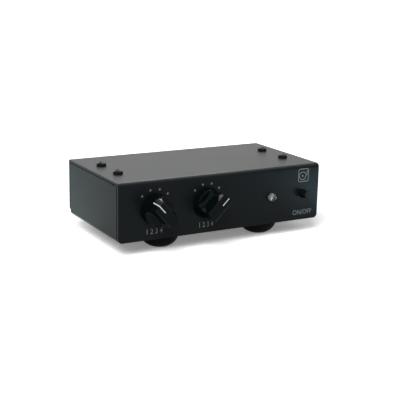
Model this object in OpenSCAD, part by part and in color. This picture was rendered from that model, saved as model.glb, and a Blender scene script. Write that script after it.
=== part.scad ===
// Phono preamp: a bent sheet-metal case with two pointer knobs, a lamp and a push button on the
// front, and phono sockets, a ground post and a power inlet on the rear.
// +X is to the right of the front, +Y runs from the front to the rear, +Z is up.
// The origin lies on the floor under the middle of the whole object.

/* [Case] */
// Width of the case across the front
case_w = 140; // [120:1:180]
// Depth of the case from the front face to the rear face
case_d = 74; // [66:1:110]
// Height of the case without its feet
case_h = 35.5; // [34.5:0.5:60]
// Thickness of the sheet metal
sheet_t = 1.5; // [1:0.1:2]
// Outer radius of the bends
bend_r = 2.6; // [2.3:0.1:4]
// Gap between the cover's top and the side walls
top_gap = 0.5; // [0.3:0.1:1]
// Gap between the front and the side walls
front_gap = 0.9; // [0.3:0.1:1.5]

/* [Feet] */
// Diameter of a foot where it meets the case
foot_d = 24; // [18:0.5:28]
// Height of a foot
foot_h = 9.2; // [6:0.1:12]
// Distance of a foot's centre from the front or rear face
foot_inset_y = 16.3; // [15:0.1:24]
// Distance of a foot's centre from the case's end
foot_inset_x = 34.7; // [20:0.1:45]

/* [Dials] */
// Distance of the load dial's axis from the left end of the case
load_from_left = 23.4; // [18:0.1:28]
// Distance between the two dial axes
dial_pitch = 34.7; // [24:0.1:40]
// Height of the dial axes over the underside of the case
dial_z = 18.6; // [17.5:0.1:20]
// Angle between two positions of a dial
dial_step = 30; // [30:5:30]
// Positions of a dial
dial_positions = 4; // [2:1:6]

/* [Knobs] */
// Diameter of a knob at its base
knob_base_d = 19; // [18:0.1:22]
// Diameter of a knob at its face
knob_face_d = 16; // [14:0.1:18]
// Height of a knob
knob_h = 15.5; // [13.5:0.1:20]
// Height of the ledge beside the grip
knob_ledge_h = 5.2; // [4.5:0.1:8]
// Width of the grip at its face
knob_grip_w = 7.2; // [5:0.1:9]
// Distance of a knob's base from the front
knob_gap = 0.8; // [0.4:0.1:1.4]
// Diameter of a dial shaft
shaft_d = 6; // [5:0.1:6.4]

/* [Power button] */
// Distance of the button's axis from the right end of the case
button_from_right = 11.7; // [9:0.1:20]
// Height of the button's axis over the underside of the case
button_z = 16.9; // [16.2:0.1:18]
// Diameter of the button
button_d = 4.9; // [4:0.1:8]
// How far the button stands out of the front
button_out = 5.6; // [4:0.1:8]
// Travel of the button
button_travel = 2.5; // [1.5:0.1:3]

/* [Lamp] */
// Distance of the lamp's axis from the button's axis
lamp_from_button = 24; // [14:0.1:30]
// Height of the lamp's axis over the underside of the case
lamp_z = 17.2; // [15.5:0.1:20]
// Diameter of the lamp's dome
lamp_d = 5; // [4:0.1:6]
// How far the centre of the dome stands out of the front
lamp_out = 1.5; // [0.5:0.1:3]

/* [Rear sockets] */
// Distance of the first and last socket housings from the ends of the case
rear_margin = 14.5; // [13:0.5:18]
// Distance between the two sockets of a pair
jack_pitch = 16; // [13:0.5:18]
// Outer diameter of a phono socket's sleeve
jack_sleeve_d = 8.3; // [8:0.1:8.6]
// How far a sleeve stands out of the rear
jack_out = 9.5; // [8:0.1:11]
// Height of the phono sockets' axes over the board
jack_lift = 8; // [7.5:0.1:9]
// Height of the power inlet's axis over the board
inlet_lift = 6.5; // [6:0.1:7]

/* [Ground post] */
// Diameter of the ground post
post_d = 4; // [3:0.1:4.4]
// How far the ground post stands out of the rear
post_out = 13; // [12.6:0.1:16]
// Diameter of the thumb nut
thumb_nut_d = 9; // [7.5:0.1:11]
// Length of the thumb nut
thumb_nut_l = 5.5; // [4:0.1:6]

/* [Screws] */
// Distance of the cover screws from the ends of the case
screw_from_end = 11.3; // [9.5:0.1:13]
// Distance between the two cover screws at an end
screw_pitch = 24.4; // [18:0.1:30]
// Diameter of the screw threads
screw_d = 2.9; // [2.4:0.1:3]
// Diameter of a cover screw's head
screw_head_d = 6; // [5:0.1:6.5]
// Height of a cover screw's head
screw_head_h = 2.4; // [1.8:0.1:2.6]

/* [Board] */
// Thickness of the circuit board
board_t = 1.6; // [1.2:0.1:2]
// Height of the board's standoffs
standoff_h = 8; // [7.6:0.1:8.4]

/* [Hidden] */
$fn = 64;

// Overrun of every cut past the face that it opens
cut = 1;
// Radial clearance of a part that turns or slides in another
run_gap = 0.05;
// Radial clearance of a part that is fixed in another
fit_gap = 0.03;
// Radial clearance of a part that passes through a panel hole
pass_gap = 0.2;

// Places of the case
knob_reach = knob_gap + knob_h;
front_y = (knob_reach - case_d - post_out) / 2;
rear_y = front_y + case_d;
mid_y = (front_y + rear_y) / 2;
bottom_z = foot_h;
top_z = bottom_z + case_h;
inner_front_y = front_y + sheet_t;
inner_rear_y = rear_y - sheet_t;
inner_bottom_z = bottom_z + sheet_t;
inner_top_z = top_z - sheet_t;
inner_x = case_w / 2 - sheet_t;
side_top_z = inner_top_z - top_gap;
rear_top_z = inner_top_z - fit_gap;
side_front_y = inner_front_y + front_gap;
// Width of the slot that frees the rear fold from the side folds
relief_w = 1;
// Gap between the rear panel and the side walls
rear_corner_gap = 0.3;

// Lid brackets
bracket_l = 44;
bracket_leg = 15;
bracket_drop = 12;
bracket_hole_d = 4.2;
press_nut_flange_d = 6;
press_nut_flange_t = 1.5;
screw_x = case_w / 2 - screw_from_end;
cover_screw_l = 8;
screw_recess_w = 0.7;
screw_recess_l = 3.1;
screw_recess_depth = 1.1;
screw_dome_r = 5;
// Turn of a screw's recess, and how it differs from screw to screw
screw_turn = 68;
screw_turn_x = 37;
screw_turn_y = 16;

// Feet
foot_flat_d = 6;
foot_x = case_w / 2 - foot_inset_x;

// Board
board_side_gap = 4.5;
board_front_gap = 2.5;
board_rear_gap = 0.3;
board_w = case_w - 2 * (sheet_t + board_side_gap);
board_front_y = inner_front_y + board_front_gap;
board_rear_y = inner_rear_y - board_rear_gap;
board_z = inner_bottom_z + standoff_h;
board_top = board_z + board_t;
board_hole_inset_x = 4.5;
board_hole_inset_y = 6;
board_hole_from_switch = 5.7;
board_hole_d = 3.3;
board_hole_x = board_w / 2 - board_hole_inset_x;
standoff_af = 5.5;
standoff_foot_d = 4;
standoff_bore_depth = 6;
board_screw_l = 6;
board_screw_head_d = 5.5;
board_screw_head_h = 1.9;

// Dials
load_x = load_from_left - case_w / 2;
gain_x = load_x + dial_pitch;
dial_axis_z = bottom_z + dial_z;
dial_sweep = dial_step * (dial_positions - 1);
load_skew = 3;
load_rest = load_skew - dial_sweep / 2;
gain_rest = dial_sweep / 2;
switch_w = 16.5;
switch_l = 10.5;
switch_edge = 1.2;
switch_bore_l = 6;
bushing_d = 9;
bushing_out = 3.5;
panel_washer_d = 12.6;
panel_washer_t = 0.6;
panel_nut_af = 11;
panel_nut_t = 2;
shaft_out = 12;
shaft_flat = 0.5;
knob_ledge_z = knob_gap + knob_ledge_h;
knob_lean = atan((knob_base_d - knob_face_d) / 2 / knob_h);
knob_rim_r = 0.6;
knob_flank_w = 0.6;
knob_edge_r = 1.3;
knob_fillet_r = 2.2;
knob_foot_w = 0.8;
knob_hollow_share = 0.8;
knob_hollow_x = knob_hollow_share * knob_base_d;
knob_hollow_r = knob_hollow_x - knob_grip_w / 2 - knob_foot_w;
knob_hollow_upper_r = norm([knob_hollow_x - knob_grip_w / 2, knob_face_d / 2]);
knob_hollow_top_r = knob_hollow_upper_r + 2 * knob_edge_r;
knob_recess_d = 14.4;
knob_recess_depth = 3.6;
knob_bore_l = 12;
knob_line_w = 0.6;
knob_line_depth = 0.25;
knob_line_inner = 2.2;
knob_line_drop = 7;
set_screw_d = 3;
set_screw_l = 4.5;
set_screw_height = 7.6;
set_screw_key = 1.5;
set_screw_key_depth = 1.6;

// Power button
button_x = case_w / 2 - button_from_right;
button_axis_z = bottom_z + button_z;
button_hole_gap = 0.4;
button_tail = 3.5;
button_edge_r = 0.35;
plunger_w = 2.8;
plunger_socket = 4;
plunger_slide_gap = 0.1;
power_switch_w = 8.6;
power_switch_l = 12;
power_switch_clear = 1;
power_switch_bore = 9;
power_switch_back = power_switch_w / 2;

// Lamp
lamp_x = button_x - lamp_from_button;
lamp_axis_z = bottom_z + lamp_z;
lamp_flange_d = 5.8;
lamp_flange_t = 1;
holder_ring_d = 6.9;
holder_ring_t = 0.6;
holder_wall = 0.55;
holder_tail = 2;
lead_w = 0.5;
lead_spacing = 2.54;
lead_run = 3;

// Phono sockets
jack_axis_z = board_top + jack_lift;
sleeve_wall = 0.6;
sleeve_root = 3;
sleeve_shoulder = 0.2;
sleeve_edge_r = 0.25;
core_recess = 0.8;
contact_wall = 0.35;
contact_bore_d = 3.3;
contact_l = 8;
housing_w = 11;
housing_l = 12;
housing_over = 5.5;
nose_d = 10;
nose_out = 0.5;
jack_pair_w = jack_pitch + housing_w;

// Ground post
post_head_d = 7;
post_head_t = 2.2;
lug_t = 0.5;
lug_d = 8;
lug_tail_w = 3;
lug_foot_l = 3;
lock_nut_af = 7;
lock_nut_t = 2.2;
post_washer_d = 9;
post_washer_t = 0.8;
thumb_groove_w = 0.8;
thumb_groove_depth = 0.4;
thumb_edge = 0.4;
post_tip = 0.5;

// Power inlet
inlet_axis_z = board_top + inlet_lift;
inlet_w = 9;
inlet_l = 13;
inlet_over = 4.5;
inlet_nose_d = 8.2;
inlet_bore_d = 6.3;
inlet_bore_depth = 9.5;
inlet_pin_d = 2.1;
inlet_pin_recess = 1;

// Places along the rear: a pair of sockets, the post, a pair of sockets and the inlet, with equal gaps
rear_start = rear_margin - case_w / 2;
rear_gap = (case_w - 2 * rear_margin - 2 * jack_pair_w - lug_d - inlet_w) / 3;
first_jack_x = rear_start + housing_w / 2;
second_pair_x = first_jack_x + jack_pair_w + lug_d + 2 * rear_gap;
jack_x = [first_jack_x, first_jack_x + jack_pitch, second_pair_x, second_pair_x + jack_pitch];
post_x = rear_start + jack_pair_w + rear_gap + lug_d / 2;
inlet_x = case_w / 2 - rear_margin - inlet_w / 2;

// Amplifier chips and their sockets, in two channels
chip_l = 9.6;
chip_w = 6.4;
chip_t = 3.3;
chip_lift = 0.6;
chip_notch_d = 1.8;
chip_notch_depth = 0.4;
chip_leg_pitch = 2.54;
chip_legs = 4;
chip_leg_w = 0.6;
chip_leg_t = 0.3;
chip_leg_run = 0.6;
socket_l = 10.4;
socket_w = 9.8;
socket_h = 4.2;
socket_window_l = 7;
socket_window_w = 3.4;
chip_from_dial = 13;
chip_y = inner_front_y + switch_l + chip_from_dial;
socket_top = board_top + socket_h;

// Capacitors, resistors and regulators
film_cap_l = 10;
film_cap_w = 5;
film_cap_h = 11;
film_cap_from_chip = 9.5;
coupling_cap_d = 6.3;
coupling_cap_h = 11.5;
coupling_cap_groove = 0.35;
filter_cap_d = 10;
filter_cap_h = 15.5;
cap_groove_lift = 1.6;
cap_groove_w = 1;
resistor_d = 2.4;
resistor_l = 6.4;
resistor_end_d = 2.7;
resistor_end_l = 1.4;
resistor_lead_d = 0.6;
resistor_lead_run = 1.8;
resistor_lift = 0.4;
resistor_pitch = 3.4;
resistor_gap = 2.6;
regulator_w = 10;
regulator_t = 3.2;
regulator_tab_t = 1.3;
regulator_body_h = 9;
regulator_tab_h = 15.5;
regulator_hole_d = 3.6;
regulator_leg_w = 0.9;
regulator_leg_l = 3.4;

// Places along the board: two channels and two regulators, with equal gaps, up to the power switch
row_margin = 14.75;
row_clear = 2;
channel_w = 2 * film_cap_from_chip + film_cap_w;
row_start = row_margin - case_w / 2;
row_end = button_x - power_switch_w / 2 - row_clear;
row_gap = (row_end - row_start - 2 * channel_w - 2 * regulator_w) / 3;
chip_x = [row_start + channel_w / 2, row_start + channel_w + row_gap + channel_w / 2];
regulator_x = [row_end - regulator_w - row_gap - regulator_w / 2, row_end - regulator_w / 2];

// Extrudes an outline drawn in the Y and Z directions along X, centred on the origin
module along_x(length) {
    rotate([90, 0, 90]) linear_extrude(height = length, center = true) children();
}

// Extrudes an outline drawn in the X and Z directions along Y, from y = 0
module along_y(length) {
    translate([0, length, 0]) rotate([90, 0, 0]) linear_extrude(height = length) children();
}

// Turns a shape built along +Z so that it stands out of the front, its own +Y pointing up
module out_of_front() {
    rotate([90, 0, 0]) children();
}

// Turns a shape built along +Z so that it stands out of the rear
module out_of_rear() {
    rotate([-90, 0, 0]) children();
}

// A box given by its low and high corners
module box(low, high) {
    translate(low) cube(high - low);
}

// A rectangle given by its low and high corners
module panel(low, high) {
    translate(low) square(high - low);
}

// A quarter of a bend in the first quadrant, centred on the bend's centre
module bend(outer, thickness) {
    intersection() {
        difference() {
            circle(r = outer);
            circle(r = outer - thickness);
        }
        square(outer);
    }
}

// What a round corner of the given radius takes off a square one, in the first quadrant
module corner_waste(radius) {
    difference() {
        square(radius + cut);
        circle(r = radius);
    }
}

// A ring along +Z
module ring(outer_d, inner_d, length) {
    difference() {
        cylinder(d = outer_d, h = length);
        translate([0, 0, -cut]) cylinder(d = inner_d, h = length + 2 * cut);
    }
}

// A hexagon prism given by its width across the flats, along +Z
module hexagon(across_flats, length) {
    cylinder(d = across_flats / cos(30), h = length, $fn = 6);
}

// Half the outline of a round body whose upper edge is rounded
module rounded_outline(diameter, height, edge) {
    panel([0, 0], [diameter / 2, height - edge]);
    panel([0, 0], [diameter / 2 - edge, height]);
    intersection() {
        translate([diameter / 2 - edge, height - edge]) circle(r = edge);
        panel([0, 0], [diameter / 2, height]);
    }
}

// Half the outline of a pan head, which is a straight band under a low dome
module pan_outline(diameter, height, dome_r) {
    intersection() {
        panel([0, 0], [diameter / 2, height]);
        translate([0, height - dome_r]) circle(r = dome_r);
    }
}

// A pan-head screw with a cross recess, its head over z = 0 and its shank under it
module pan_screw(head_d, head_h, length, turn) {
    difference() {
        rotate_extrude() pan_outline(head_d, head_h, screw_dome_r);
        rotate([0, 0, turn]) for (a = [0, 90])
            rotate([0, 0, a])
                translate([-screw_recess_l / 2, -screw_recess_w / 2, head_h - screw_recess_depth])
                    cube([screw_recess_l, screw_recess_w, screw_recess_depth + cut]);
    }
    translate([0, 0, -length]) cylinder(d = screw_d, h = length);
}

// Places of the four cover screws
module at_cover_screws() {
    for (sx = [-1, 1], sy = [-1, 1])
        translate([sx * screw_x, mid_y + sy * screw_pitch / 2, 0]) children();
}

// Places of the four board screws, near the rear edge and behind the power switch
module at_board_holes() {
    front_row_y = power_switch_y() + power_switch_l + board_hole_from_switch;
    for (sx = [-1, 1], y = [board_rear_y - board_hole_inset_y, front_row_y])
        translate([sx * board_hole_x, y, 0]) children();
}

// Folded tray: the bottom with both sides, and the rear folded up behind them
module base() {
    color("#26282a") difference() {
        union() {
            difference() {
                translate([0, side_front_y, 0])
                    along_y(inner_rear_y - rear_corner_gap - side_front_y) tray_outline();
                box([-case_w / 2 + bend_r, rear_y - bend_r - relief_w, bottom_z - cut],
                    [case_w / 2 - bend_r, inner_rear_y, inner_bottom_z + cut]);
            }
            rear_fold();
        }
        for (x = jack_x)
            translate([x, rear_y + cut, jack_axis_z]) out_of_front()
                cylinder(d = nose_d + 2 * pass_gap, h = sheet_t + 2 * cut);
        translate([post_x, rear_y + cut, jack_axis_z]) out_of_front()
            cylinder(d = post_d + 2 * pass_gap, h = sheet_t + 2 * cut);
        translate([inlet_x, rear_y + cut, inlet_axis_z]) out_of_front()
            cylinder(d = inlet_nose_d + 2 * pass_gap, h = sheet_t + 2 * cut);
        translate([0, 0, bottom_z - cut]) at_board_holes()
            cylinder(d = standoff_foot_d + 2 * fit_gap, h = sheet_t + 2 * cut);
    }
}

// Outline of the bottom and the two sides, seen from the front
module tray_outline() {
    panel([-case_w / 2 + bend_r, bottom_z], [case_w / 2 - bend_r, inner_bottom_z]);
    for (s = [0, 1]) mirror([s, 0]) {
        panel([inner_x, bottom_z + bend_r], [case_w / 2, side_top_z]);
        translate([case_w / 2 - bend_r, bottom_z + bend_r]) mirror([0, 1]) bend(bend_r, sheet_t);
    }
}

// The rear panel with the fold that joins it to the bottom
module rear_fold() {
    fold_w = case_w - 2 * (bend_r + relief_w);
    along_x(fold_w) {
        panel([rear_y - bend_r - relief_w - cut, bottom_z], [rear_y - bend_r, inner_bottom_z]);
        translate([rear_y - bend_r, bottom_z + bend_r]) mirror([0, 1]) bend(bend_r, sheet_t);
        panel([inner_rear_y, bottom_z + bend_r], [rear_y, rear_top_z]);
    }
    box([-case_w / 2, inner_rear_y, bottom_z + bend_r + relief_w],
        [case_w / 2, rear_y, rear_top_z]);
}

// Bent sheet: the top and the front in one piece
module cover() {
    color("#2b2d30") difference() {
        along_x(case_w) {
            panel([front_y + bend_r, inner_top_z], [rear_y, top_z]);
            translate([front_y + bend_r, top_z - bend_r]) mirror([1, 0]) bend(bend_r, sheet_t);
            panel([front_y, bottom_z], [inner_front_y, top_z - bend_r]);
        }
        for (s = [0, 1]) mirror([s, 0, 0])
            translate([case_w / 2 - bend_r, front_y - cut, bottom_z + bend_r])
                along_y(sheet_t + 2 * cut) mirror([0, 1]) corner_waste(bend_r);
        for (x = [load_x, gain_x])
            translate([x, inner_front_y + cut, dial_axis_z]) out_of_front()
                cylinder(d = bushing_d + 2 * pass_gap, h = sheet_t + 2 * cut);
        translate([lamp_x, inner_front_y + cut, lamp_axis_z]) out_of_front()
            cylinder(d = lamp_hole_d(), h = sheet_t + 2 * cut);
        translate([button_x, inner_front_y + cut, button_axis_z]) out_of_front()
            cylinder(d = button_d + 2 * button_hole_gap, h = sheet_t + 2 * cut);
        translate([0, 0, inner_top_z - cut]) at_cover_screws()
            cylinder(d = screw_d + 2 * pass_gap, h = sheet_t + 2 * cut);
    }
}

// Diameter of the lamp holder's sleeve, and of the panel hole that takes it
function holder_d() = lamp_d + 2 * (run_gap + holder_wall);
function lamp_hole_d() = holder_d() + 2 * fit_gap;

// Angle bracket inside the right wall, carrying the cover; the left one is its mirror image
module lid_bracket() {
    color("#b9bcc0") difference() {
        translate([0, mid_y - bracket_l / 2, 0]) along_y(bracket_l) {
            panel([inner_x - bracket_leg, inner_top_z - sheet_t], [inner_x - bend_r, inner_top_z]);
            panel([inner_x - sheet_t, inner_top_z - bracket_drop], [inner_x, inner_top_z - bend_r]);
            translate([inner_x - bend_r, inner_top_z - bend_r]) bend(bend_r, sheet_t);
        }
        translate([0, 0, inner_top_z - sheet_t - cut]) at_cover_screws()
            cylinder(d = bracket_hole_d, h = sheet_t + 2 * cut);
    }
}

module lid_bracket_left() {
    mirror([1, 0, 0]) lid_bracket();
}

module lid_bracket_right() {
    lid_bracket();
}

// Press nuts in the lid brackets
module bracket_nuts() {
    color("#c9cbce") at_cover_screws() difference() {
        union() {
            translate([0, 0, inner_top_z - sheet_t])
                cylinder(d = bracket_hole_d - 2 * fit_gap, h = sheet_t);
            translate([0, 0, inner_top_z - sheet_t - press_nut_flange_t])
                cylinder(d = press_nut_flange_d, h = press_nut_flange_t);
        }
        translate([0, 0, inner_top_z - sheet_t - press_nut_flange_t - cut])
            cylinder(d = screw_d + 2 * run_gap, h = sheet_t + press_nut_flange_t + 2 * cut);
    }
}

// The four pan-head screws of the cover
module cover_screws() {
    color("#1c1c1e") for (sx = [-1, 1], sy = [-1, 1])
        translate([sx * screw_x, mid_y + sy * screw_pitch / 2, top_z])
            pan_screw(screw_head_d, screw_head_h, cover_screw_l,
                      screw_turn + sx * screw_turn_x + sy * screw_turn_y);
}

// Dome foot under one corner; sx and sy are -1 or 1
module foot(sx, sy) {
    foot_y = mid_y + sy * (case_d / 2 - foot_inset_y);
    edge = min((foot_d - foot_flat_d) / 2, foot_h);
    color("#141414") translate([sx * foot_x, foot_y, foot_h]) mirror([0, 0, 1])
        rotate_extrude() rounded_outline(foot_d, foot_h, edge);
}

module foot_front_left() {
    foot(-1, -1);
}

module foot_front_right() {
    foot(1, -1);
}

module foot_rear_left() {
    foot(-1, 1);
}

module foot_rear_right() {
    foot(1, 1);
}

// Circuit board
module main_board() {
    color("#1f5c39") difference() {
        box([-board_w / 2, board_front_y, board_z], [board_w / 2, board_rear_y, board_top]);
        translate([0, 0, board_z - cut]) at_board_holes()
            cylinder(d = board_hole_d, h = board_t + 2 * cut);
    }
}

// Hexagonal standoffs, riveted flush into the bottom
module board_standoffs() {
    color("#c2c4c7") at_board_holes() difference() {
        union() {
            translate([0, 0, bottom_z]) cylinder(d = standoff_foot_d, h = sheet_t);
            translate([0, 0, inner_bottom_z]) hexagon(standoff_af, standoff_h);
        }
        translate([0, 0, board_z - standoff_bore_depth])
            cylinder(d = screw_d + 2 * run_gap, h = standoff_bore_depth + cut);
    }
}

// The four screws that hold the board down
module board_screws() {
    color("#c2c4c7") translate([0, 0, board_top]) at_board_holes()
        pan_screw(board_screw_head_d, board_screw_head_h, board_screw_l, screw_turn);
}

// Puts a part of a dial on its axis in the front face, turned to the rest position
module on_dial(x, angle) {
    translate([x, front_y, dial_axis_z]) rotate([0, angle, 0]) out_of_front() children();
}

// Pointer knob: a skirt with a grip across it. +Y is the pointer's way, +Z is out of the front
module knob(x, angle) {
    color("#0c0c0d") on_dial(x, angle) difference() {
        translate([0, 0, knob_gap]) cylinder(d1 = knob_base_d, d2 = knob_face_d, h = knob_h);
        for (s = [0, 1]) mirror([s, 0, 0]) {
            knob_scoop();
            knob_rim_waste();
        }
        cylinder(d = knob_recess_d, h = knob_gap + knob_recess_depth);
        cylinder(d = shaft_d + 2 * fit_gap, h = knob_gap + knob_bore_l);
        translate([0, 0, set_screw_height]) rotate([90, 0, 0])
            cylinder(d = set_screw_d + 2 * fit_gap, h = knob_base_d);
        translate([-knob_line_w / 2, knob_line_inner, knob_reach - knob_line_depth])
            cube([knob_line_w, knob_base_d, knob_line_depth + cut]);
        knob_line_end();
    }
}

// What is cut away on one side of the grip, as far as its flank and a round hollow that leaves
// the grip's foot wider at its two ends
module knob_scoop() {
    intersection() {
        translate([0, -knob_base_d / 2 - cut, 0]) along_y(knob_base_d + 2 * cut) difference() {
            panel([knob_grip_w / 2 - knob_edge_r, knob_ledge_z - cut],
                [knob_base_d / 2 + cut, knob_reach + cut]);
            grip_section();
        }
        translate([knob_hollow_x, 0, 0]) rotate_extrude() hollow_outline();
    }
}

// Half the section of the grip: a leaning flank with a round upper edge
module grip_section() {
    lean = atan(knob_flank_w / (knob_reach - knob_ledge_z));
    edge = [knob_grip_w / 2 - knob_edge_r * (1 - sin(lean)) / cos(lean), knob_reach - knob_edge_r];
    polygon([
        [0, knob_ledge_z - 2 * cut],
        [knob_grip_w / 2 + knob_flank_w + 2 * cut * tan(lean), knob_ledge_z - 2 * cut],
        edge + knob_edge_r * [cos(lean), sin(lean)],
        edge,
        [edge[0], knob_reach],
        [0, knob_reach]
    ]);
    intersection() {
        translate(edge) circle(r = knob_edge_r);
        panel(edge, edge + [2 * knob_edge_r, 2 * knob_edge_r]);
    }
}

// Half the outline of the hollow beside the grip: a flat floor with a round corner, a leaning
// wall, and a mouth that opens wide of the grip's upper edge
module hollow_outline() {
    upper_z = knob_reach - knob_edge_r;
    lean = atan((knob_hollow_upper_r - knob_hollow_r) / (upper_z - knob_ledge_z));
    corner = [knob_hollow_r - knob_fillet_r * (1 - sin(lean)) / cos(lean), knob_ledge_z + knob_fillet_r];
    polygon([
        [0, knob_ledge_z],
        [corner[0], knob_ledge_z],
        corner,
        corner + knob_fillet_r * [cos(lean), -sin(lean)],
        [knob_hollow_upper_r, upper_z],
        [knob_hollow_top_r, knob_reach + cut],
        [0, knob_reach + cut]
    ]);
    intersection() {
        translate(corner) circle(r = knob_fillet_r);
        panel([corner[0], knob_ledge_z], corner + [knob_fillet_r, 0]);
    }
}

// What rounds off the rim of a ledge, as far as its floor is flat
module knob_rim_waste() {
    rim_x = knob_base_d / 2 - knob_ledge_h * tan(knob_lean);
    corner = [rim_x - knob_rim_r * (1 - sin(knob_lean)) / cos(knob_lean), knob_ledge_z - knob_rim_r];
    floor_r = knob_hollow_r - knob_fillet_r;
    start = (pow(knob_hollow_x, 2) + pow(rim_x, 2) - pow(floor_r, 2)) / (2 * knob_hollow_x);
    intersection() {
        rotate_extrude() difference() {
            panel([corner[0], corner[1] + knob_rim_r * sin(knob_lean)],
                [rim_x + knob_rim_r, knob_ledge_z + cut]);
            translate(corner) circle(r = knob_rim_r);
        }
        translate([start, -knob_base_d / 2, knob_gap]) cube([knob_base_d, knob_base_d, knob_h]);
    }
}

// The groove of the white line where it runs down the pointer's end
module knob_line_end() {
    translate([0, knob_face_d / 2, knob_reach]) rotate([knob_lean, 0, 0])
        translate([-knob_line_w / 2, -knob_line_depth, -knob_line_drop])
            cube([knob_line_w, knob_line_depth + cut, knob_line_drop + cut]);
}

module load_knob() {
    knob(load_x, load_rest);
}

module gain_knob() {
    knob(gain_x, gain_rest);
}

// Set screw in the tail side of a knob, its tip on the shaft's flat
module set_screw(x, angle) {
    tip = shaft_d / 2 - shaft_flat;
    color("#3a3a3c") on_dial(x, angle) translate([0, -tip, set_screw_height])
        rotate([90, 0, 0]) difference() {
            cylinder(d = set_screw_d, h = set_screw_l);
            translate([0, 0, set_screw_l - set_screw_key_depth])
                hexagon(set_screw_key, set_screw_key_depth + cut);
        }
}

module load_set_screw() {
    set_screw(load_x, load_rest);
}

module gain_set_screw() {
    set_screw(gain_x, gain_rest);
}

// Shaft of a rotary switch, with a flat for the set screw
module shaft(x, angle) {
    color("#b4b6b9") on_dial(x, angle) difference() {
        translate([0, 0, -sheet_t - switch_bore_l + run_gap])
            cylinder(d = shaft_d, h = sheet_t + switch_bore_l - run_gap + shaft_out);
        translate([-shaft_d / 2, -shaft_d / 2 - cut, bushing_out + cut])
            cube([shaft_d, shaft_flat + cut, shaft_out]);
    }
}

module load_shaft() {
    shaft(load_x, load_rest);
}

module gain_shaft() {
    shaft(gain_x, gain_rest);
}

// Rotary switch: body on the board behind the front, with a bushing through the panel
module rotary_switch(x) {
    color("#3c4a3f") difference() {
        union() {
            translate([x, inner_front_y, 0]) along_y(switch_l) difference() {
                panel([-switch_w / 2, board_top], [switch_w / 2, 2 * dial_axis_z - board_top]);
                for (s = [0, 1]) mirror([s, 0])
                    translate([switch_w / 2 - switch_edge, 2 * dial_axis_z - board_top - switch_edge])
                        corner_waste(switch_edge);
            }
            translate([x, inner_front_y, dial_axis_z]) out_of_front()
                cylinder(d = bushing_d, h = sheet_t + bushing_out);
        }
        translate([x, inner_front_y + switch_bore_l, dial_axis_z]) out_of_front()
            cylinder(d = shaft_d + 2 * run_gap, h = switch_bore_l + sheet_t + bushing_out + cut);
    }
}

module load_switch() {
    rotary_switch(load_x);
}

module gain_switch() {
    rotary_switch(gain_x);
}

// Lock washer of a bushing
module panel_washer(x) {
    color("#c2c4c7") on_dial(x, 0)
        ring(panel_washer_d, bushing_d + 2 * fit_gap, panel_washer_t);
}

module load_washer() {
    panel_washer(load_x);
}

module gain_washer() {
    panel_washer(gain_x);
}

// Hexagon nut of a bushing
module panel_nut(x) {
    color("#c2c4c7") on_dial(x, 0) translate([0, 0, panel_washer_t]) difference() {
        hexagon(panel_nut_af, panel_nut_t);
        translate([0, 0, -cut]) cylinder(d = bushing_d + 2 * fit_gap, h = panel_nut_t + 2 * cut);
    }
}

module load_nut() {
    panel_nut(load_x);
}

module gain_nut() {
    panel_nut(gain_x);
}

// Round button cap with a socket for the switch's plunger
module power_cap() {
    color("#101012") translate([button_x, inner_front_y + button_tail, button_axis_z])
        out_of_front() difference() {
            rotate_extrude() rounded_outline(button_d, button_tail + sheet_t + button_out, button_edge_r);
            translate([-plunger_w / 2 - fit_gap, -plunger_w / 2 - fit_gap, -cut])
                cube([plunger_w + 2 * fit_gap, plunger_w + 2 * fit_gap, plunger_socket + cut]);
        }
}

// Square plunger of the power switch
module power_plunger() {
    start_y = inner_front_y + button_tail - plunger_socket;
    end_y = power_switch_y() + power_switch_bore - button_travel - plunger_slide_gap;
    color("#d8d8d4") box(
        [button_x - plunger_w / 2, start_y, button_axis_z - plunger_w / 2],
        [button_x + plunger_w / 2, end_y, button_axis_z + plunger_w / 2]);
}

// Front face of the power switch's body, clear of the pressed cap
function power_switch_y() = inner_front_y + button_tail + button_travel + power_switch_clear;

// Latching push switch on the board
module power_switch() {
    half = plunger_w / 2 + plunger_slide_gap;
    color("#2a2c2f") difference() {
        box([button_x - power_switch_w / 2, power_switch_y(), board_top],
            [button_x + power_switch_w / 2, power_switch_y() + power_switch_l,
             button_axis_z + power_switch_back]);
        box([button_x - half, power_switch_y() - cut, button_axis_z - half],
            [button_x + half, power_switch_y() + power_switch_bore, button_axis_z + half]);
    }
}

// Clear 5 mm lamp with its flange behind the holder
module lamp() {
    color("#e8e4d6") translate([lamp_x, inner_front_y + holder_tail, lamp_axis_z]) out_of_front() {
        stem = holder_tail + sheet_t + lamp_out;
        cylinder(d = lamp_d, h = stem);
        translate([0, 0, stem]) sphere(d = lamp_d);
        translate([0, 0, -lamp_flange_t]) cylinder(d = lamp_flange_d, h = lamp_flange_t);
    }
}

// Holder ring of the lamp
module lamp_holder() {
    color("#161618") translate([lamp_x, inner_front_y + holder_tail, lamp_axis_z]) out_of_front()
        difference() {
            union() {
                cylinder(d = holder_d(), h = holder_tail + sheet_t);
                translate([0, 0, holder_tail + sheet_t])
                    cylinder(d1 = holder_ring_d, d2 = holder_d(), h = holder_ring_t);
            }
            translate([0, 0, -cut]) cylinder(
                d = lamp_d + 2 * run_gap, h = holder_tail + sheet_t + holder_ring_t + 2 * cut);
        }
}

// The two leads of the lamp, bent down to the board
module lamp_leads() {
    back_y = inner_front_y + holder_tail + lamp_flange_t;
    color("#c9cbce") for (s = [-1, 1]) {
        x = lamp_x + s * lead_spacing / 2;
        box([x - lead_w / 2, back_y, lamp_axis_z - lead_w / 2],
            [x + lead_w / 2, back_y + lead_run, lamp_axis_z + lead_w / 2]);
        box([x - lead_w / 2, back_y + lead_run - lead_w, board_top],
            [x + lead_w / 2, back_y + lead_run, lamp_axis_z + lead_w / 2]);
    }
}

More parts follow.
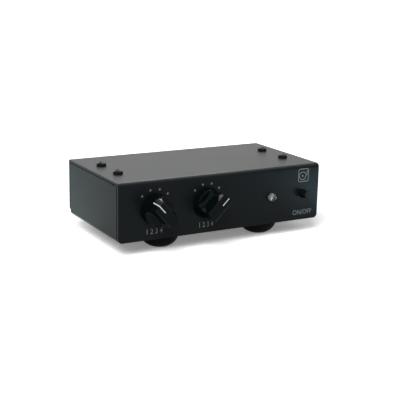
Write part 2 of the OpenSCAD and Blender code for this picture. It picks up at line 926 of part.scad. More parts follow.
// Diameter of a sleeve's root, which a step keeps in the housing
function sleeve_root_d() = jack_sleeve_d - 2 * sleeve_shoulder;

// Diameter of a socket's insulating core
function core_d() = jack_sleeve_d - 2 * (sleeve_wall + fit_gap);

// Puts a part of a phono socket on its axis, z = 0 at the outer face of the rear
module on_jack(index) {
    translate([jack_x[index], rear_y, jack_axis_z]) out_of_rear() children();
}

// Plated sleeve of one phono socket
module sleeve(index) {
    color("#d9b65a") on_jack(index) difference() {
        union() {
            translate([0, 0, -sleeve_root]) cylinder(d = sleeve_root_d(), h = sleeve_root + nose_out);
            translate([0, 0, nose_out])
                rotate_extrude() rounded_outline(jack_sleeve_d, jack_out - nose_out, sleeve_edge_r);
        }
        translate([0, 0, -sleeve_root - cut])
            cylinder(d = jack_sleeve_d - 2 * sleeve_wall, h = sleeve_root + jack_out + 2 * cut);
    }
}

module input_left_sleeve() {
    sleeve(0);
}

module input_right_sleeve() {
    sleeve(1);
}

module output_left_sleeve() {
    sleeve(2);
}

module output_right_sleeve() {
    sleeve(3);
}

// Insulating core of one phono socket
module core(index, shade) {
    color(shade) on_jack(index) difference() {
        translate([0, 0, -sleeve_root])
            cylinder(d = core_d(), h = sleeve_root + jack_out - core_recess);
        translate([0, 0, jack_out - core_recess - contact_l])
            cylinder(d = contact_d() + 2 * fit_gap, h = contact_l + cut);
    }
}

// Outer diameter of a centre contact
function contact_d() = contact_bore_d + 2 * contact_wall;

module input_left_core() {
    core(0, "#e6e4de");
}

module input_right_core() {
    core(1, "#a8231f");
}

module output_left_core() {
    core(2, "#e6e4de");
}

module output_right_core() {
    core(3, "#a8231f");
}

// Tubular centre contacts of the four phono sockets
module jack_contacts() {
    color("#d9b65a") for (i = [0:len(jack_x) - 1])
        on_jack(i) translate([0, 0, jack_out - core_recess - contact_l])
            ring(contact_d(), contact_bore_d, contact_l);
}

// Housings of the four phono sockets, on the board behind the rear panel
module jack_housings() {
    color("#1b1b1d") for (i = [0:len(jack_x) - 1]) difference() {
        union() {
            box([jack_x[i] - housing_w / 2, inner_rear_y - housing_l, board_top],
                [jack_x[i] + housing_w / 2, inner_rear_y, jack_axis_z + housing_over]);
            on_jack(i) translate([0, 0, -sheet_t]) cylinder(d = nose_d, h = sheet_t + nose_out);
        }
        on_jack(i) translate([0, 0, -sleeve_root])
            cylinder(d = sleeve_root_d() + 2 * fit_gap, h = sleeve_root + nose_out + cut);
    }
}

// Puts a part of the ground post on its axis, z = 0 at the outer face of the rear
module on_post() {
    translate([post_x, rear_y, jack_axis_z]) out_of_rear() children();
}

// Ground post: a screw put through the rear from inside
module ground_post() {
    inner_z = -sheet_t - lug_t;
    color("#c9b27a") on_post() {
        translate([0, 0, inner_z]) cylinder(d = post_d, h = post_out - inner_z - post_tip);
        translate([0, 0, post_out - post_tip])
            cylinder(d1 = post_d, d2 = post_d - 2 * post_tip, h = post_tip);
        translate([0, 0, inner_z - post_head_t]) cylinder(d = post_head_d, h = post_head_t);
    }
}

// Solder lug under the post's head, with a tail down to the board
module ground_lug() {
    lug_y = inner_rear_y - lug_t;
    color("#c9cbce") difference() {
        union() {
            on_post() translate([0, 0, -sheet_t - lug_t]) cylinder(d = lug_d, h = lug_t);
            box([post_x - lug_tail_w / 2, lug_y, board_top], [post_x + lug_tail_w / 2, inner_rear_y, jack_axis_z]);
            box([post_x - lug_tail_w / 2, lug_y - lug_foot_l, board_top],
                [post_x + lug_tail_w / 2, inner_rear_y, board_top + lug_t]);
        }
        on_post() translate([0, 0, -sheet_t - lug_t - cut])
            cylinder(d = post_d + 2 * fit_gap, h = lug_t + 2 * cut);
    }
}

// Nut that holds the ground post in the rear
module ground_lock_nut() {
    color("#d6c079") on_post() difference() {
        hexagon(lock_nut_af, lock_nut_t);
        translate([0, 0, -cut]) cylinder(d = post_d + 2 * fit_gap, h = lock_nut_t + 2 * cut);
    }
}

// Loose washer that the thumb nut presses a spade or a wire against
module ground_washer() {
    color("#d6c079") on_post() translate([0, 0, lock_nut_t])
        ring(post_washer_d, post_d + 2 * run_gap, post_washer_t);
}

// Thumb nut with grooves round its rim
module ground_thumb_nut() {
    grooves = 18;
    color("#d6b865") on_post() translate([0, 0, lock_nut_t + post_washer_t]) difference() {
        rotate_extrude() rounded_outline(thumb_nut_d, thumb_nut_l, thumb_edge);
        translate([0, 0, -cut]) cylinder(d = post_d + 2 * run_gap, h = thumb_nut_l + 2 * cut);
        for (i = [0:grooves - 1]) rotate([0, 0, i * 360 / grooves])
            translate([thumb_nut_d / 2 - thumb_groove_depth, -thumb_groove_w / 2, thumb_edge])
                cube([thumb_groove_depth + cut, thumb_groove_w, thumb_nut_l - 2 * thumb_edge]);
    }
}

// Power inlet on the board, its nose flush in the rear
module power_inlet() {
    color("#161618") difference() {
        union() {
            box([inlet_x - inlet_w / 2, inner_rear_y - inlet_l, board_top],
                [inlet_x + inlet_w / 2, inner_rear_y, inlet_axis_z + inlet_over]);
            translate([inlet_x, inner_rear_y, inlet_axis_z]) out_of_rear()
                cylinder(d = inlet_nose_d, h = sheet_t);
        }
        translate([inlet_x, rear_y - inlet_bore_depth, inlet_axis_z]) out_of_rear()
            cylinder(d = inlet_bore_d, h = inlet_bore_depth + cut);
    }
}

// Centre pin of the power inlet
module inlet_pin() {
    color("#c9cbce") translate([inlet_x, rear_y - inlet_bore_depth, inlet_axis_z]) out_of_rear()
        rotate_extrude() rounded_outline(inlet_pin_d, inlet_bore_depth - inlet_pin_recess, inlet_pin_d / 4);
}

// Amplifier chip in its socket, with two rows of legs
module amplifier(x) {
    chip_z = socket_top + chip_lift;
    leg_z = chip_z + chip_t / 2;
    color("#202022") translate([x, chip_y, 0]) {
        difference() {
            box([-chip_l / 2, -chip_w / 2, chip_z], [chip_l / 2, chip_w / 2, chip_z + chip_t]);
            translate([-chip_l / 2, 0, chip_z + chip_t - chip_notch_depth])
                cylinder(d = chip_notch_d, h = chip_notch_depth + cut);
        }
        for (i = [0:chip_legs - 1], s = [0, 1]) mirror([0, s, 0])
            translate([(i - (chip_legs - 1) / 2) * chip_leg_pitch - chip_leg_w / 2, 0, 0]) {
                box([0, chip_w / 2, leg_z - chip_leg_t],
                    [chip_leg_w, chip_w / 2 + chip_leg_run, leg_z]);
                box([0, chip_w / 2 + chip_leg_run - chip_leg_t, socket_top],
                    [chip_leg_w, chip_w / 2 + chip_leg_run, leg_z]);
            }
    }
}

module amplifier_left() {
    amplifier(chip_x[0]);
}

module amplifier_right() {
    amplifier(chip_x[1]);
}

// Sockets of the two amplifier chips
module amplifier_sockets() {
    color("#2b2b2e") for (x = chip_x) translate([x, chip_y, 0]) difference() {
        box([-socket_l / 2, -socket_w / 2, board_top], [socket_l / 2, socket_w / 2, socket_top]);
        box([-socket_window_l / 2, -socket_window_w / 2, board_top - cut],
            [socket_window_l / 2, socket_window_w / 2, socket_top + cut]);
    }
}

// Box film capacitors in pairs on both sides of each chip
module film_capacitors() {
    color("#8d2f2a") for (x = chip_x, s = [-1, 1])
        translate([x + s * film_cap_from_chip, chip_y, board_top])
            box([-film_cap_w / 2, -film_cap_l / 2, 0], [film_cap_w / 2, film_cap_l / 2, film_cap_h]);
}

// Round can with a groove near its foot, along +Z
module can(diameter, height) {
    difference() {
        rotate_extrude() rounded_outline(diameter, height, coupling_cap_groove);
        translate([0, 0, cap_groove_lift])
            ring(diameter + cut, diameter - 2 * coupling_cap_groove, cap_groove_w);
    }
}

// Coupling capacitors between each chip and the rear sockets
module coupling_capacitors() {
    color("#23365e") for (x = chip_x, s = [-1, 1])
        translate([x + s * film_cap_from_chip / 2, coupling_cap_y(), board_top])
            can(coupling_cap_d, coupling_cap_h);
}

// Row of the coupling capacitors, between the chips' sockets and the phono sockets
function coupling_cap_y() = (chip_y + socket_w / 2 + inner_rear_y - housing_l) / 2;

// Filter capacitors of the power supply
module filter_capacitors() {
    color("#16181c") for (x = regulator_x)
        translate([x, coupling_cap_y(), board_top]) can(filter_cap_d, filter_cap_h);
}

// One resistor lying along X, its leads bent down to the board
module resistor() {
    axis_z = resistor_end_d / 2 + resistor_lift;
    lead_x = resistor_l / 2 + resistor_lead_run;
    translate([0, 0, axis_z]) rotate([0, 90, 0]) {
        translate([0, 0, -resistor_l / 2]) cylinder(d = resistor_d, h = resistor_l);
        for (s = [0, 1]) mirror([0, 0, s]) translate([0, 0, resistor_l / 2 - resistor_end_l])
            cylinder(d = resistor_end_d, h = resistor_end_l);
        translate([0, 0, -lead_x]) cylinder(d = resistor_lead_d, h = 2 * lead_x);
    }
    for (s = [-1, 1]) translate([s * lead_x, 0, 0]) {
        cylinder(d = resistor_lead_d, h = axis_z);
        translate([0, 0, axis_z]) sphere(d = resistor_lead_d);
    }
}

// Rows of resistors in front of each chip
module resistors() {
    row_y = chip_y - socket_w / 2 - resistor_gap;
    side_x = resistor_l / 2 + resistor_lead_run + resistor_lead_d;
    color("#3f6f9e") for (x = chip_x, s = [-1, 1], row = [0, 1])
        translate([x + s * side_x, row_y - row * resistor_pitch, board_top]) resistor();
}

// Upright voltage regulators with their metal tabs
module regulators() {
    color("#4a4c50") for (x = regulator_x) translate([x, chip_y, board_top]) regulator();
}

// One regulator on three legs; the tab is at the rear
module regulator() {
    box([-regulator_w / 2, -regulator_t, regulator_leg_l],
        [regulator_w / 2, 0, regulator_leg_l + regulator_body_h]);
    difference() {
        box([-regulator_w / 2, 0, regulator_leg_l],
            [regulator_w / 2, regulator_tab_t, regulator_leg_l + regulator_tab_h]);
        translate([0, regulator_tab_t + cut, regulator_leg_l + (regulator_body_h + regulator_tab_h) / 2])
            rotate([90, 0, 0]) cylinder(d = regulator_hole_d, h = regulator_tab_t + 2 * cut);
    }
    for (i = [-1, 0, 1])
        translate([i * chip_leg_pitch - regulator_leg_w / 2, -regulator_t / 2 - regulator_leg_w / 2, 0])
            cube([regulator_leg_w, regulator_leg_w, regulator_leg_l]);
}

base();
cover();
lid_bracket_left();
lid_bracket_right();
bracket_nuts();
cover_screws();
foot_front_left();
foot_front_right();
foot_rear_left();
foot_rear_right();
main_board();
board_standoffs();
board_screws();
load_knob();
load_set_screw();
load_shaft();
load_switch();
load_washer();
load_nut();
gain_knob();
gain_set_screw();
gain_shaft();
gain_switch();
gain_washer();
gain_nut();
power_cap();
power_plunger();
power_switch();
lamp();
lamp_holder();
lamp_leads();
input_left_sleeve();
input_right_sleeve();
output_left_sleeve();
output_right_sleeve();
input_left_core();
input_right_core();
output_left_core();
output_right_core();
jack_contacts();
jack_housings();
ground_post();
ground_lug();
ground_lock_nut();
ground_washer();
ground_thumb_nut();
power_inlet();
inlet_pin();
amplifier_left();
amplifier_right();
amplifier_sockets();
film_capacitors();
coupling_capacitors();
filter_capacitors();
resistors();
regulators();
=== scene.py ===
"""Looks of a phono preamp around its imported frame.

Sizes are millimetres of the part frame: +X to the right of the front, +Y to the rear, +Z up.
Meshes are written in metres.
"""

import logging
import math
from collections.abc import Mapping, Sequence
from dataclasses import dataclass
from enum import Enum

import bmesh
import bpy
from mathutils import Matrix, Quaternion, Vector


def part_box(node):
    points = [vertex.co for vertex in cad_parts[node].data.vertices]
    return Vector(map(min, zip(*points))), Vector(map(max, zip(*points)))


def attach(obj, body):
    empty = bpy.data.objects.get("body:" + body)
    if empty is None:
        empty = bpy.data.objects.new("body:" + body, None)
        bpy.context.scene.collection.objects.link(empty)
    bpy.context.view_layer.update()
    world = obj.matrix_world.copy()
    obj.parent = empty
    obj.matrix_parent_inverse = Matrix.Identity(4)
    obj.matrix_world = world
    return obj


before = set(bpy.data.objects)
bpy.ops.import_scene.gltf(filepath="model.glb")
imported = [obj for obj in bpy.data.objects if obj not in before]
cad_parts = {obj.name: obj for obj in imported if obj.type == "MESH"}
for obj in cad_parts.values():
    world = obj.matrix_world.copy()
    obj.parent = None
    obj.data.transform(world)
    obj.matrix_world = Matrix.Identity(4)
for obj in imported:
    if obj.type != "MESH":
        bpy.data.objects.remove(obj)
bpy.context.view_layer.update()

MM = 0.001
LOG = logging.getLogger("preamp")

Color = tuple[float, float, float]
Point = tuple[float, float]

# How far past a chip's or resistor's body its metal starts, in millimetres
MARGIN = 0.02
TINNED_LEG: Color = (0.66, 0.66, 0.64)

# Roundings put on the edges of small metal parts, of cut metal and of mouldings, in millimetres
FINE_EDGE = 0.08
CUT_EDGE = 0.1
MOULDED_EDGE = 0.15

# How far a print stands proud of its panel, in millimetres
PRINT_DEPTH = 0.03


class Grain(Enum):
    """How a surface's fine pattern is stretched along X, Y and Z."""

    EVEN = (1.0, 1.0, 1.0)
    ROLLED = (0.06, 1.0, 1.0)
    TURNED_Y = (0.04, 1.0, 0.04)


class Side(Enum):
    """The outer faces that carry prints."""

    FRONT = "front"
    REAR = "rear"


class Rays(Enum):
    """What a soft box lights: matt surfaces, or only what gloss shows."""

    MATT = "matt"
    GLOSS = "gloss"


class Wire:
    """An output socket of a shader node, on which arithmetic adds Math nodes."""

    def __init__(self, graph: "Graph", node: bpy.types.Node, output: int | str = 0) -> None:
        """Keeps the node and which of its outputs is meant.

        Args:
            graph: The graph that holds the node.
            node: The node.
            output: The output's number or name.
        """
        self.graph = graph
        self.node = node
        self.output = output

    @property
    def socket(self) -> bpy.types.NodeSocket:
        """The socket itself."""
        return self.node.outputs[self.output]

    def __getitem__(self, output: int | str) -> "Wire":
        """Another output of the same node."""
        return Wire(self.graph, self.node, output)

    def _math(self, operation: str, *operands: "Wire | float") -> "Wire":
        """A Math node on the operands, in their order."""
        return self.graph.node("Math", {"operation": operation}, dict(enumerate(operands)))

    def __add__(self, other: "Wire | float") -> "Wire":
        """The sum."""
        return self._math("ADD", self, other)

    __radd__ = __add__

    def __sub__(self, other: "Wire | float") -> "Wire":
        """The difference."""
        return self._math("SUBTRACT", self, other)

    def __rsub__(self, other: "Wire | float") -> "Wire":
        """The difference, taken from a number."""
        return self._math("SUBTRACT", other, self)

    def __mul__(self, other: "Wire | float") -> "Wire":
        """The product."""
        return self._math("MULTIPLY", self, other)

    __rmul__ = __mul__

    def __gt__(self, other: "Wire | float") -> "Wire":
        """1 where this is greater, else 0."""
        return self._math("GREATER_THAN", self, other)

    def __lt__(self, other: "Wire | float") -> "Wire":
        """1 where this is less, else 0."""
        return self._math("LESS_THAN", self, other)

    def __abs__(self) -> "Wire":
        """The size without its sign."""
        return self._math("ABSOLUTE", self)

    def most(self, other: "Wire | float") -> "Wire":
        """The greater of the two."""
        return self._math("MAXIMUM", self, other)

    def reach(self, other: "Wire") -> "Wire":
        """How far the point with these two coordinates lies from zero."""
        return self._math("SQRT", self * self + other * other)

    def off_centre(self, first: float, pitch: float) -> "Wire":
        """The signed distance to the nearest of a row of equally spaced centres.

        Args:
            first: One of the centres.
            pitch: The distance between two centres.

        Returns:
            A wire between minus and plus half the pitch.
        """
        shifted = self - (first - pitch / 2)
        return self._math("FLOORED_MODULO", shifted, pitch) - pitch / 2


class Graph:
    """The node tree of a material or of the world."""

    def __init__(self, tree: bpy.types.NodeTree) -> None:
        """Starts from an empty tree."""
        self.tree = tree
        tree.nodes.clear()

    def node(
        self,
        kind: str,
        settings: Mapping[str, object] | None = None,
        inputs: Mapping[int | str, "Wire | object"] | None = None,
    ) -> Wire:
        """Adds a node.

        Args:
            kind: Its type, without the ShaderNode prefix.
            settings: Its properties, which are set first.
            inputs: A wire or a plain value for each numbered or named socket.

        Returns:
            A wire on the node's first output.
        """
        made = self.tree.nodes.new("ShaderNode" + kind)
        for name, value in (settings or {}).items():
            setattr(made, name, value)
        for key, value in (inputs or {}).items():
            if isinstance(value, Wire):
                self.tree.links.new(value.socket, made.inputs[key])
            elif isinstance(value, tuple) and made.inputs[key].type == "RGBA":
                made.inputs[key].default_value = (*value, 1.0)
            else:
                made.inputs[key].default_value = value
        return Wire(self, made)

    def place(self) -> Wire:
        """The point of the surface in the part frame, in millimetres."""
        point = self.node("TexCoord")["Object"]
        return self.node("VectorMath", {"operation": "SCALE"}, {0: point, "Scale": 1 / MM})

    def axes(self) -> tuple[Wire, Wire, Wire]:
        """The place's X, Y and Z."""
        parts = self.node("SeparateXYZ", None, {0: self.place()})
        return parts["X"], parts["Y"], parts["Z"]

    def facing(self) -> tuple[Wire, Wire, Wire]:
        """The X, Y and Z of the surface's normal in the part frame."""
        parts = self.node("SeparateXYZ", None, {0: self.node("TexCoord")["Normal"]})
        return parts["X"], parts["Y"], parts["Z"]

    def noise(self, size: float, detail: float = 2.0, grain: Grain = Grain.EVEN) -> Wire:
        """Smooth noise around 0.5.

        Args:
            size: The width of its lumps, in millimetres.
            detail: How many finer layers it has.
            grain: How it is stretched.

        Returns:
            The noise as a value.
        """
        where = self.place()
        if grain is not Grain.EVEN:
            where = self.node("VectorMath", {"operation": "MULTIPLY"}, {0: where, 1: grain.value})
        return self.node("TexNoise", None, {"Vector": where, "Scale": 1 / size, "Detail": detail})

    def blend(self, factor: Wire, low: "Color | Wire", high: "Color | Wire") -> Wire:
        """A colour between two, by a factor from 0 to 1."""
        return self.node("Mix", {"data_type": "RGBA"}, {0: factor, 6: low, 7: high})[2]

    def bump(self, height: Wire, depth: float) -> Wire:
        """A normal from a height of 0 to 1 that stands for a depth in millimetres."""
        return self.node("Bump", None, {"Height": height, "Distance": depth * MM})


@dataclass(frozen=True)
class Finish:
    """The look of one kind of surface."""

    name: str
    slot: str

    def paint(self, graph: Graph) -> dict[str, "Wire | float | Color"]:
        """What goes into the shader's sockets.

        Args:
            graph: The material's node tree.

        Returns:
            A wire or a plain value for each named socket of a Principled shader.
        """
        raise NotImplementedError

    def material(self) -> bpy.types.Material:
        """The material, made when it is first asked for.

        Returns:
            The material, under the finish's name.
        """
        known = bpy.data.materials.get(self.name)
        if known is not None:
            return known
        made = bpy.data.materials.new(self.name)
        made.use_nodes = True
        graph = Graph(made.node_tree)
        shader = graph.node("BsdfPrincipled", None, self.paint(graph))
        graph.node("OutputMaterial", None, {"Surface": shader})
        return made


@dataclass(frozen=True)
class PowderCoat(Finish):
    """Satin powder coat on sheet metal, with a faint orange peel."""

    low: Color
    high: Color
    roughness: float = 0.305
    gloss: float = 0.081
    cloud: float = 34.0
    speck: float = 0.22
    peel: float = 1.1
    relief: float = 0.0012

    def paint(self, graph: Graph) -> dict[str, Wire | float | Color]:
        """Clouds and specks of tone, and a peel for the bump; see Finish."""
        cloud = graph.noise(self.cloud)
        speck = graph.noise(self.speck, 1.0)
        peel = graph.noise(self.peel)
        return {
            "Base Color": graph.blend(0.5 * cloud + 0.5 * speck, self.low, self.high),
            "Roughness": self.roughness - 0.05 + 0.06 * cloud + 0.04 * speck,
            "Specular IOR Level": self.gloss,
            "Normal": graph.bump(0.85 * peel + 0.15 * speck, self.relief),
        }


@dataclass(frozen=True)
class Moulding(Finish):
    """Moulded plastic or rubber."""

    low: Color
    high: Color
    roughness: float
    gloss: float = 0.5
    grain: float = 0.3
    relief: float = 0.002
    flow: float = 7.0

    def paint(self, graph: Graph) -> dict[str, Wire | float | Color]:
        """Soft flow marks over a fine grain; see Finish."""
        flow = graph.noise(self.flow)
        grain = graph.noise(self.grain, 1.0)
        return {
            "Base Color": graph.blend(0.6 * flow + 0.4 * grain, self.low, self.high),
            "Roughness": self.roughness * (0.85 + 0.2 * flow + 0.1 * grain),
            "Specular IOR Level": self.gloss,
            "Normal": graph.bump(0.7 * flow + 0.3 * grain, self.relief),
        }


@dataclass(frozen=True)
class Plating(Finish):
    """Plated or turned metal."""

    low: Color
    high: Color
    roughness: float
    grain: Grain = Grain.EVEN
    lines: float = 0.12
    tarnish: float = 4.0
    relief: float = 0.0008

    def paint(self, graph: Graph) -> dict[str, Wire | float | Color]:
        """Tool lines along the grain and a soft tarnish; see Finish."""
        lines = graph.noise(self.lines, 2.0, self.grain)
        tarnish = graph.noise(self.tarnish)
        return {
            "Base Color": graph.blend(0.7 * tarnish + 0.3 * lines, self.low, self.high),
            "Metallic": 1.0,
            "Roughness": self.roughness * (0.7 + 0.3 * lines + 0.3 * tarnish),
            "Normal": graph.bump(lines, self.relief),
        }


@dataclass(frozen=True)
class Blackening(Finish):
    """Blackened steel, rubbed a little brighter in spots."""

    low: Color
    high: Color
    roughness: float
    gloss: float = 0.1
    mottle: float = 1.4
    bead: float = 0.12
    relief: float = 0.003

    def paint(self, graph: Graph) -> dict[str, Wire | float | Color]:
        """Mottled oxide over a fine bead texture; see Finish."""
        mottle = graph.noise(self.mottle)
        bead = graph.noise(self.bead, 1.0)
        return {
            "Base Color": graph.blend(0.5 * mottle + 0.5 * bead, self.low, self.high),
            "Specular IOR Level": self.gloss,
            "Roughness": self.roughness * (0.8 + 0.25 * mottle + 0.15 * bead),
            "Normal": graph.bump(0.4 * mottle + 0.6 * bead, self.relief),
        }


@dataclass(frozen=True)
class ClearEpoxy(Finish):
    """Water-clear cast epoxy of the lamp."""

    low: Color = (0.20, 0.215, 0.21)
    high: Color = (0.27, 0.285, 0.28)
    flow: float = 1.6
    ior: float = 1.53
    relief: float = 0.004
    roughness: float = 0.16

    def paint(self, graph: Graph) -> dict[str, Wire | float | Color]:
        """A slightly uneven clear body; see Finish."""
        flow = graph.noise(self.flow)
        return {
            "Base Color": graph.blend(flow, self.low, self.high),
            "Roughness": self.roughness + 0.08 * flow,
            "IOR": self.ior,
            "Transmission Weight": 1.0,
            "Normal": graph.bump(flow, self.relief),
        }


@dataclass(frozen=True)
class Ink(Finish):
    """Printed or filled paint, with the uneven cover of a thin layer."""

    low: Color
    high: Color
    cover: float = 0.5
    tooth: float = 0.08
    relief: float = 0.002
    roughness: float = 0.5

    def paint(self, graph: Graph) -> dict[str, Wire | float | Color]:
        """A patchy cover with a fine tooth; see Finish."""
        cover = graph.noise(self.cover)
        tooth = graph.noise(self.tooth, 1.0)
        return {
            "Base Color": graph.blend(0.7 * cover + 0.3 * tooth, self.low, self.high),
            "Roughness": self.roughness + 0.15 * cover,
            "Normal": graph.bump(tooth, self.relief),
        }


@dataclass(frozen=True)
class SolderMask(Finish):
    """Green solder mask over copper traces, tinned pads and a pale glass-fibre edge."""

    mask_low: Color = (0.012, 0.085, 0.035)
    mask_high: Color = (0.020, 0.130, 0.055)
    trace: Color = (0.030, 0.210, 0.085)
    tin: Color = (0.62, 0.62, 0.60)
    core: Color = (0.38, 0.33, 0.17)
    pitch: float = 2.54
    half_trace: float = 0.35
    pad: float = 0.85
    hole: float = 0.4
    lane: float = 9.0
    lane_cut: float = 0.5
    patch: float = 5.0
    patch_cut: float = 0.58
    cloud: float = 12.0
    relief: float = 0.03
    roughness: float = 0.28

    def paint(self, graph: Graph) -> dict[str, Wire | float | Color]:
        """Traces and pads on a tenth-inch grid, left out by noise; see Finish."""
        x, y, _ = graph.axes()
        across = x.off_centre(0.0, self.pitch)
        along = y.off_centre(0.0, self.pitch)
        lanes = graph.noise(self.lane, 1.0, Grain.ROLLED)
        trace = (abs(along) < self.half_trace) * (lanes > self.lane_cut)
        radius = across.reach(along)
        spots = graph.noise(self.patch) > self.patch_cut
        pad = (radius < self.pad) * (radius > self.hole) * spots
        edge = abs(graph.facing()[2]) < 0.5
        cloud = graph.noise(self.cloud)
        mask = graph.blend(cloud, self.mask_low, self.mask_high)
        printed = graph.blend(pad, graph.blend(trace, mask, self.trace), self.tin)
        return {
            "Base Color": graph.blend(edge, printed, self.core),
            "Metallic": pad * (1 - edge),
            "Roughness": self.roughness + 0.35 * edge + 0.05 * cloud,
            "Normal": graph.bump(0.5 * trace + 0.5 * pad, self.relief),
        }


@dataclass(frozen=True)
class CanSleeve(Finish):
    """Sleeve of a round capacitor, with a polarity stripe and a bare top with a vent cross.

    The cans stand in one row along X, in pairs or singly at equal pitches.
    """

    sleeve: Color
    stripe: Color
    first_x: float
    pitch: float
    half_pair: float
    row_y: float
    radius: float
    top_z: float
    bare_low: Color = (0.62, 0.63, 0.64)
    bare_high: Color = (0.76, 0.76, 0.76)
    rim: float = 0.6
    lip: float = 0.7
    half_vent: float = 0.22
    stripe_share: float = 0.72
    cloud: float = 3.0
    relief: float = 0.15
    roughness: float = 0.3

    def paint(self, graph: Graph) -> dict[str, Wire | float | Color]:
        """Stripe and top by the distance from each can's axis; see Finish."""
        x, y, z = graph.axes()
        row = x.off_centre(self.first_x, self.pitch)
        out = abs(row) - self.half_pair if self.half_pair else row
        depth = y - self.row_y
        inside = out.reach(depth) < (self.radius - self.rim)
        top = (z > self.top_z - self.lip) * inside
        cross = ((abs(out) < self.half_vent) + (abs(depth) < self.half_vent)) > 0.5
        stripe = (out < -self.stripe_share * self.radius) * (1 - top)
        cloud = graph.noise(self.cloud)
        paint = graph.blend(stripe, self.sleeve, self.stripe)
        bare = graph.blend(cloud, self.bare_low, self.bare_high)
        return {
            "Base Color": graph.blend(top, paint, bare),
            "Metallic": top,
            "Roughness": self.roughness + 0.1 * cloud,
            "Normal": graph.bump(top * (1 - cross) + 0.05 * cloud, self.relief),
        }


@dataclass(frozen=True)
class ChipCase(Finish):
    """Black moulded case of a chip, with tinned legs and a dot at its first leg."""

    centre: Point
    body: Point
    body_z: float
    case_low: Color = (0.010, 0.010, 0.011)
    case_high: Color = (0.022, 0.022, 0.023)
    dot_tone: Color = (0.12, 0.12, 0.12)
    dot_inset: float = 1.3
    dot_radius: float = 0.45
    grain: float = 0.15
    relief: float = 0.01
    roughness: float = 0.55

    def paint(self, graph: Graph) -> dict[str, Wire | float | Color]:
        """Legs outside the case's box, and a dot in its corner; see Finish."""
        x, y, z = graph.axes()
        across = x - self.centre[0]
        along = y - self.centre[1]
        leg = ((abs(along) > self.body[1] / 2 + MARGIN) + (z < self.body_z - MARGIN)) > 0.5
        dot_x = across + self.body[0] / 2 - self.dot_inset
        dot_y = along + self.body[1] / 2 - self.dot_inset
        dot = dot_x.reach(dot_y) < self.dot_radius
        grain = graph.noise(self.grain, 1.0)
        case = graph.blend(grain, self.case_low, self.case_high)
        return {
            "Base Color": graph.blend(leg, graph.blend(dot, case, self.dot_tone), TINNED_LEG),
            "Metallic": leg,
            "Roughness": self.roughness - 0.3 * leg,
            "Normal": graph.bump(grain, self.relief),
        }


@dataclass(frozen=True)
class ResistorLacquer(Finish):
    """Blue lacquer with colour rings, and tinned leads."""

    first_x: float
    pitch: float
    side_x: float
    length: float
    lead_z: float
    rings: tuple[tuple[float, Color], ...] = (
        (-2.4, (0.30, 0.12, 0.03)),
        (-1.15, (0.01, 0.01, 0.01)),
        (-0.25, (0.01, 0.01, 0.01)),
        (0.65, (0.40, 0.02, 0.02)),
        (2.4, (0.30, 0.12, 0.03)),
    )
    blue_low: Color = (0.07, 0.19, 0.34)
    blue_high: Color = (0.10, 0.26, 0.44)
    half_ring: float = 0.28
    cloud: float = 1.5
    relief: float = 0.02
    roughness: float = 0.3

    def paint(self, graph: Graph) -> dict[str, Wire | float | Color]:
        """Rings by the place along the body, leads past its ends; see Finish."""
        x, _, z = graph.axes()
        along = abs(x.off_centre(self.first_x, self.pitch)) - self.side_x
        lead = ((abs(along) > self.length / 2 + MARGIN) + (z < self.lead_z)) > 0.5
        cloud = graph.noise(self.cloud)
        tone = graph.blend(cloud, self.blue_low, self.blue_high)
        for place, color in self.rings:
            tone = graph.blend(abs(along - place) < self.half_ring, tone, color)
        return {
            "Base Color": graph.blend(lead, tone, TINNED_LEG),
            "Metallic": lead,
            "Roughness": self.roughness + 0.05 * cloud,
            "Normal": graph.bump(cloud, self.relief),
        }


@dataclass(frozen=True)
class RegulatorCase(Finish):
    """Black moulded body of a voltage regulator, with its tinned tab and legs."""

    tab_y: float
    body_z: tuple[float, float]
    case: Color = (0.014, 0.014, 0.015)
    tab: Color = (0.60, 0.60, 0.61)
    grain: float = 0.2
    brushing: float = 0.15
    relief: float = 0.01
    roughness: float = 0.5

    def paint(self, graph: Graph) -> dict[str, Wire | float | Color]:
        """Metal behind the body, above it and below it; see Finish."""
        _, y, z = graph.axes()
        metal = ((y > self.tab_y) + (z < self.body_z[0]) + (z > self.body_z[1])) > 0.5
        grain = graph.noise(self.grain, 1.0)
        brushed = graph.noise(self.brushing, 2.0, Grain.ROLLED)
        return {
            "Base Color": graph.blend(metal, self.case, self.tab),
            "Metallic": metal,
            "Roughness": self.roughness - 0.2 * metal + 0.1 * brushed,
            "Normal": graph.bump(grain, self.relief),
        }


CASE_COAT = PowderCoat(
    "satin_black_coat", "case_paint", (0.0042, 0.0058, 0.0066), (0.0054, 0.0075, 0.0085)
)
KNOB_PLASTIC = Moulding(
    "polished_black_plastic", "knob_black", (0.0010, 0.0026, 0.0028), (0.0018, 0.0038, 0.0040), 0.12, 0.08
)
BUTTON_PLASTIC = Moulding("button_black_plastic", "button_black", (0.004,) * 3, (0.006,) * 3, 0.35, 0.09)
HOLDER_PLASTIC = Moulding("holder_black_plastic", "button_black", (0.003,) * 3, (0.005,) * 3, 0.4, 0.15)
FOOT_RUBBER = Moulding(
    "black_rubber", "foot_rubber", (0.0009, 0.0016, 0.0022), (0.0017, 0.0028, 0.0036), 0.55,
    gloss=0.05, grain=0.4, relief=0.01,
)
SWITCH_PLASTIC = Moulding(
    "green_grey_plastic", "switch_body", (0.030, 0.045, 0.034), (0.045, 0.062, 0.050), 0.5
)
SWITCH_CASE = Moulding(
    "dark_switch_plastic", "switch_body", (0.020, 0.021, 0.024), (0.032, 0.033, 0.036), 0.5
)
PLUNGER_PLASTIC = Moulding(
    "plain_white_plastic", "plunger_white", (0.62, 0.61, 0.57), (0.70, 0.69, 0.65), 0.45
)
HOUSING_PLASTIC = Moulding("housing_black_plastic", "housing_black", (0.010,) * 3, (0.018,) * 3, 0.45)
INLET_PLASTIC = Moulding("inlet_black_plastic", "housing_black", (0.008,) * 3, (0.014,) * 3, 0.4)
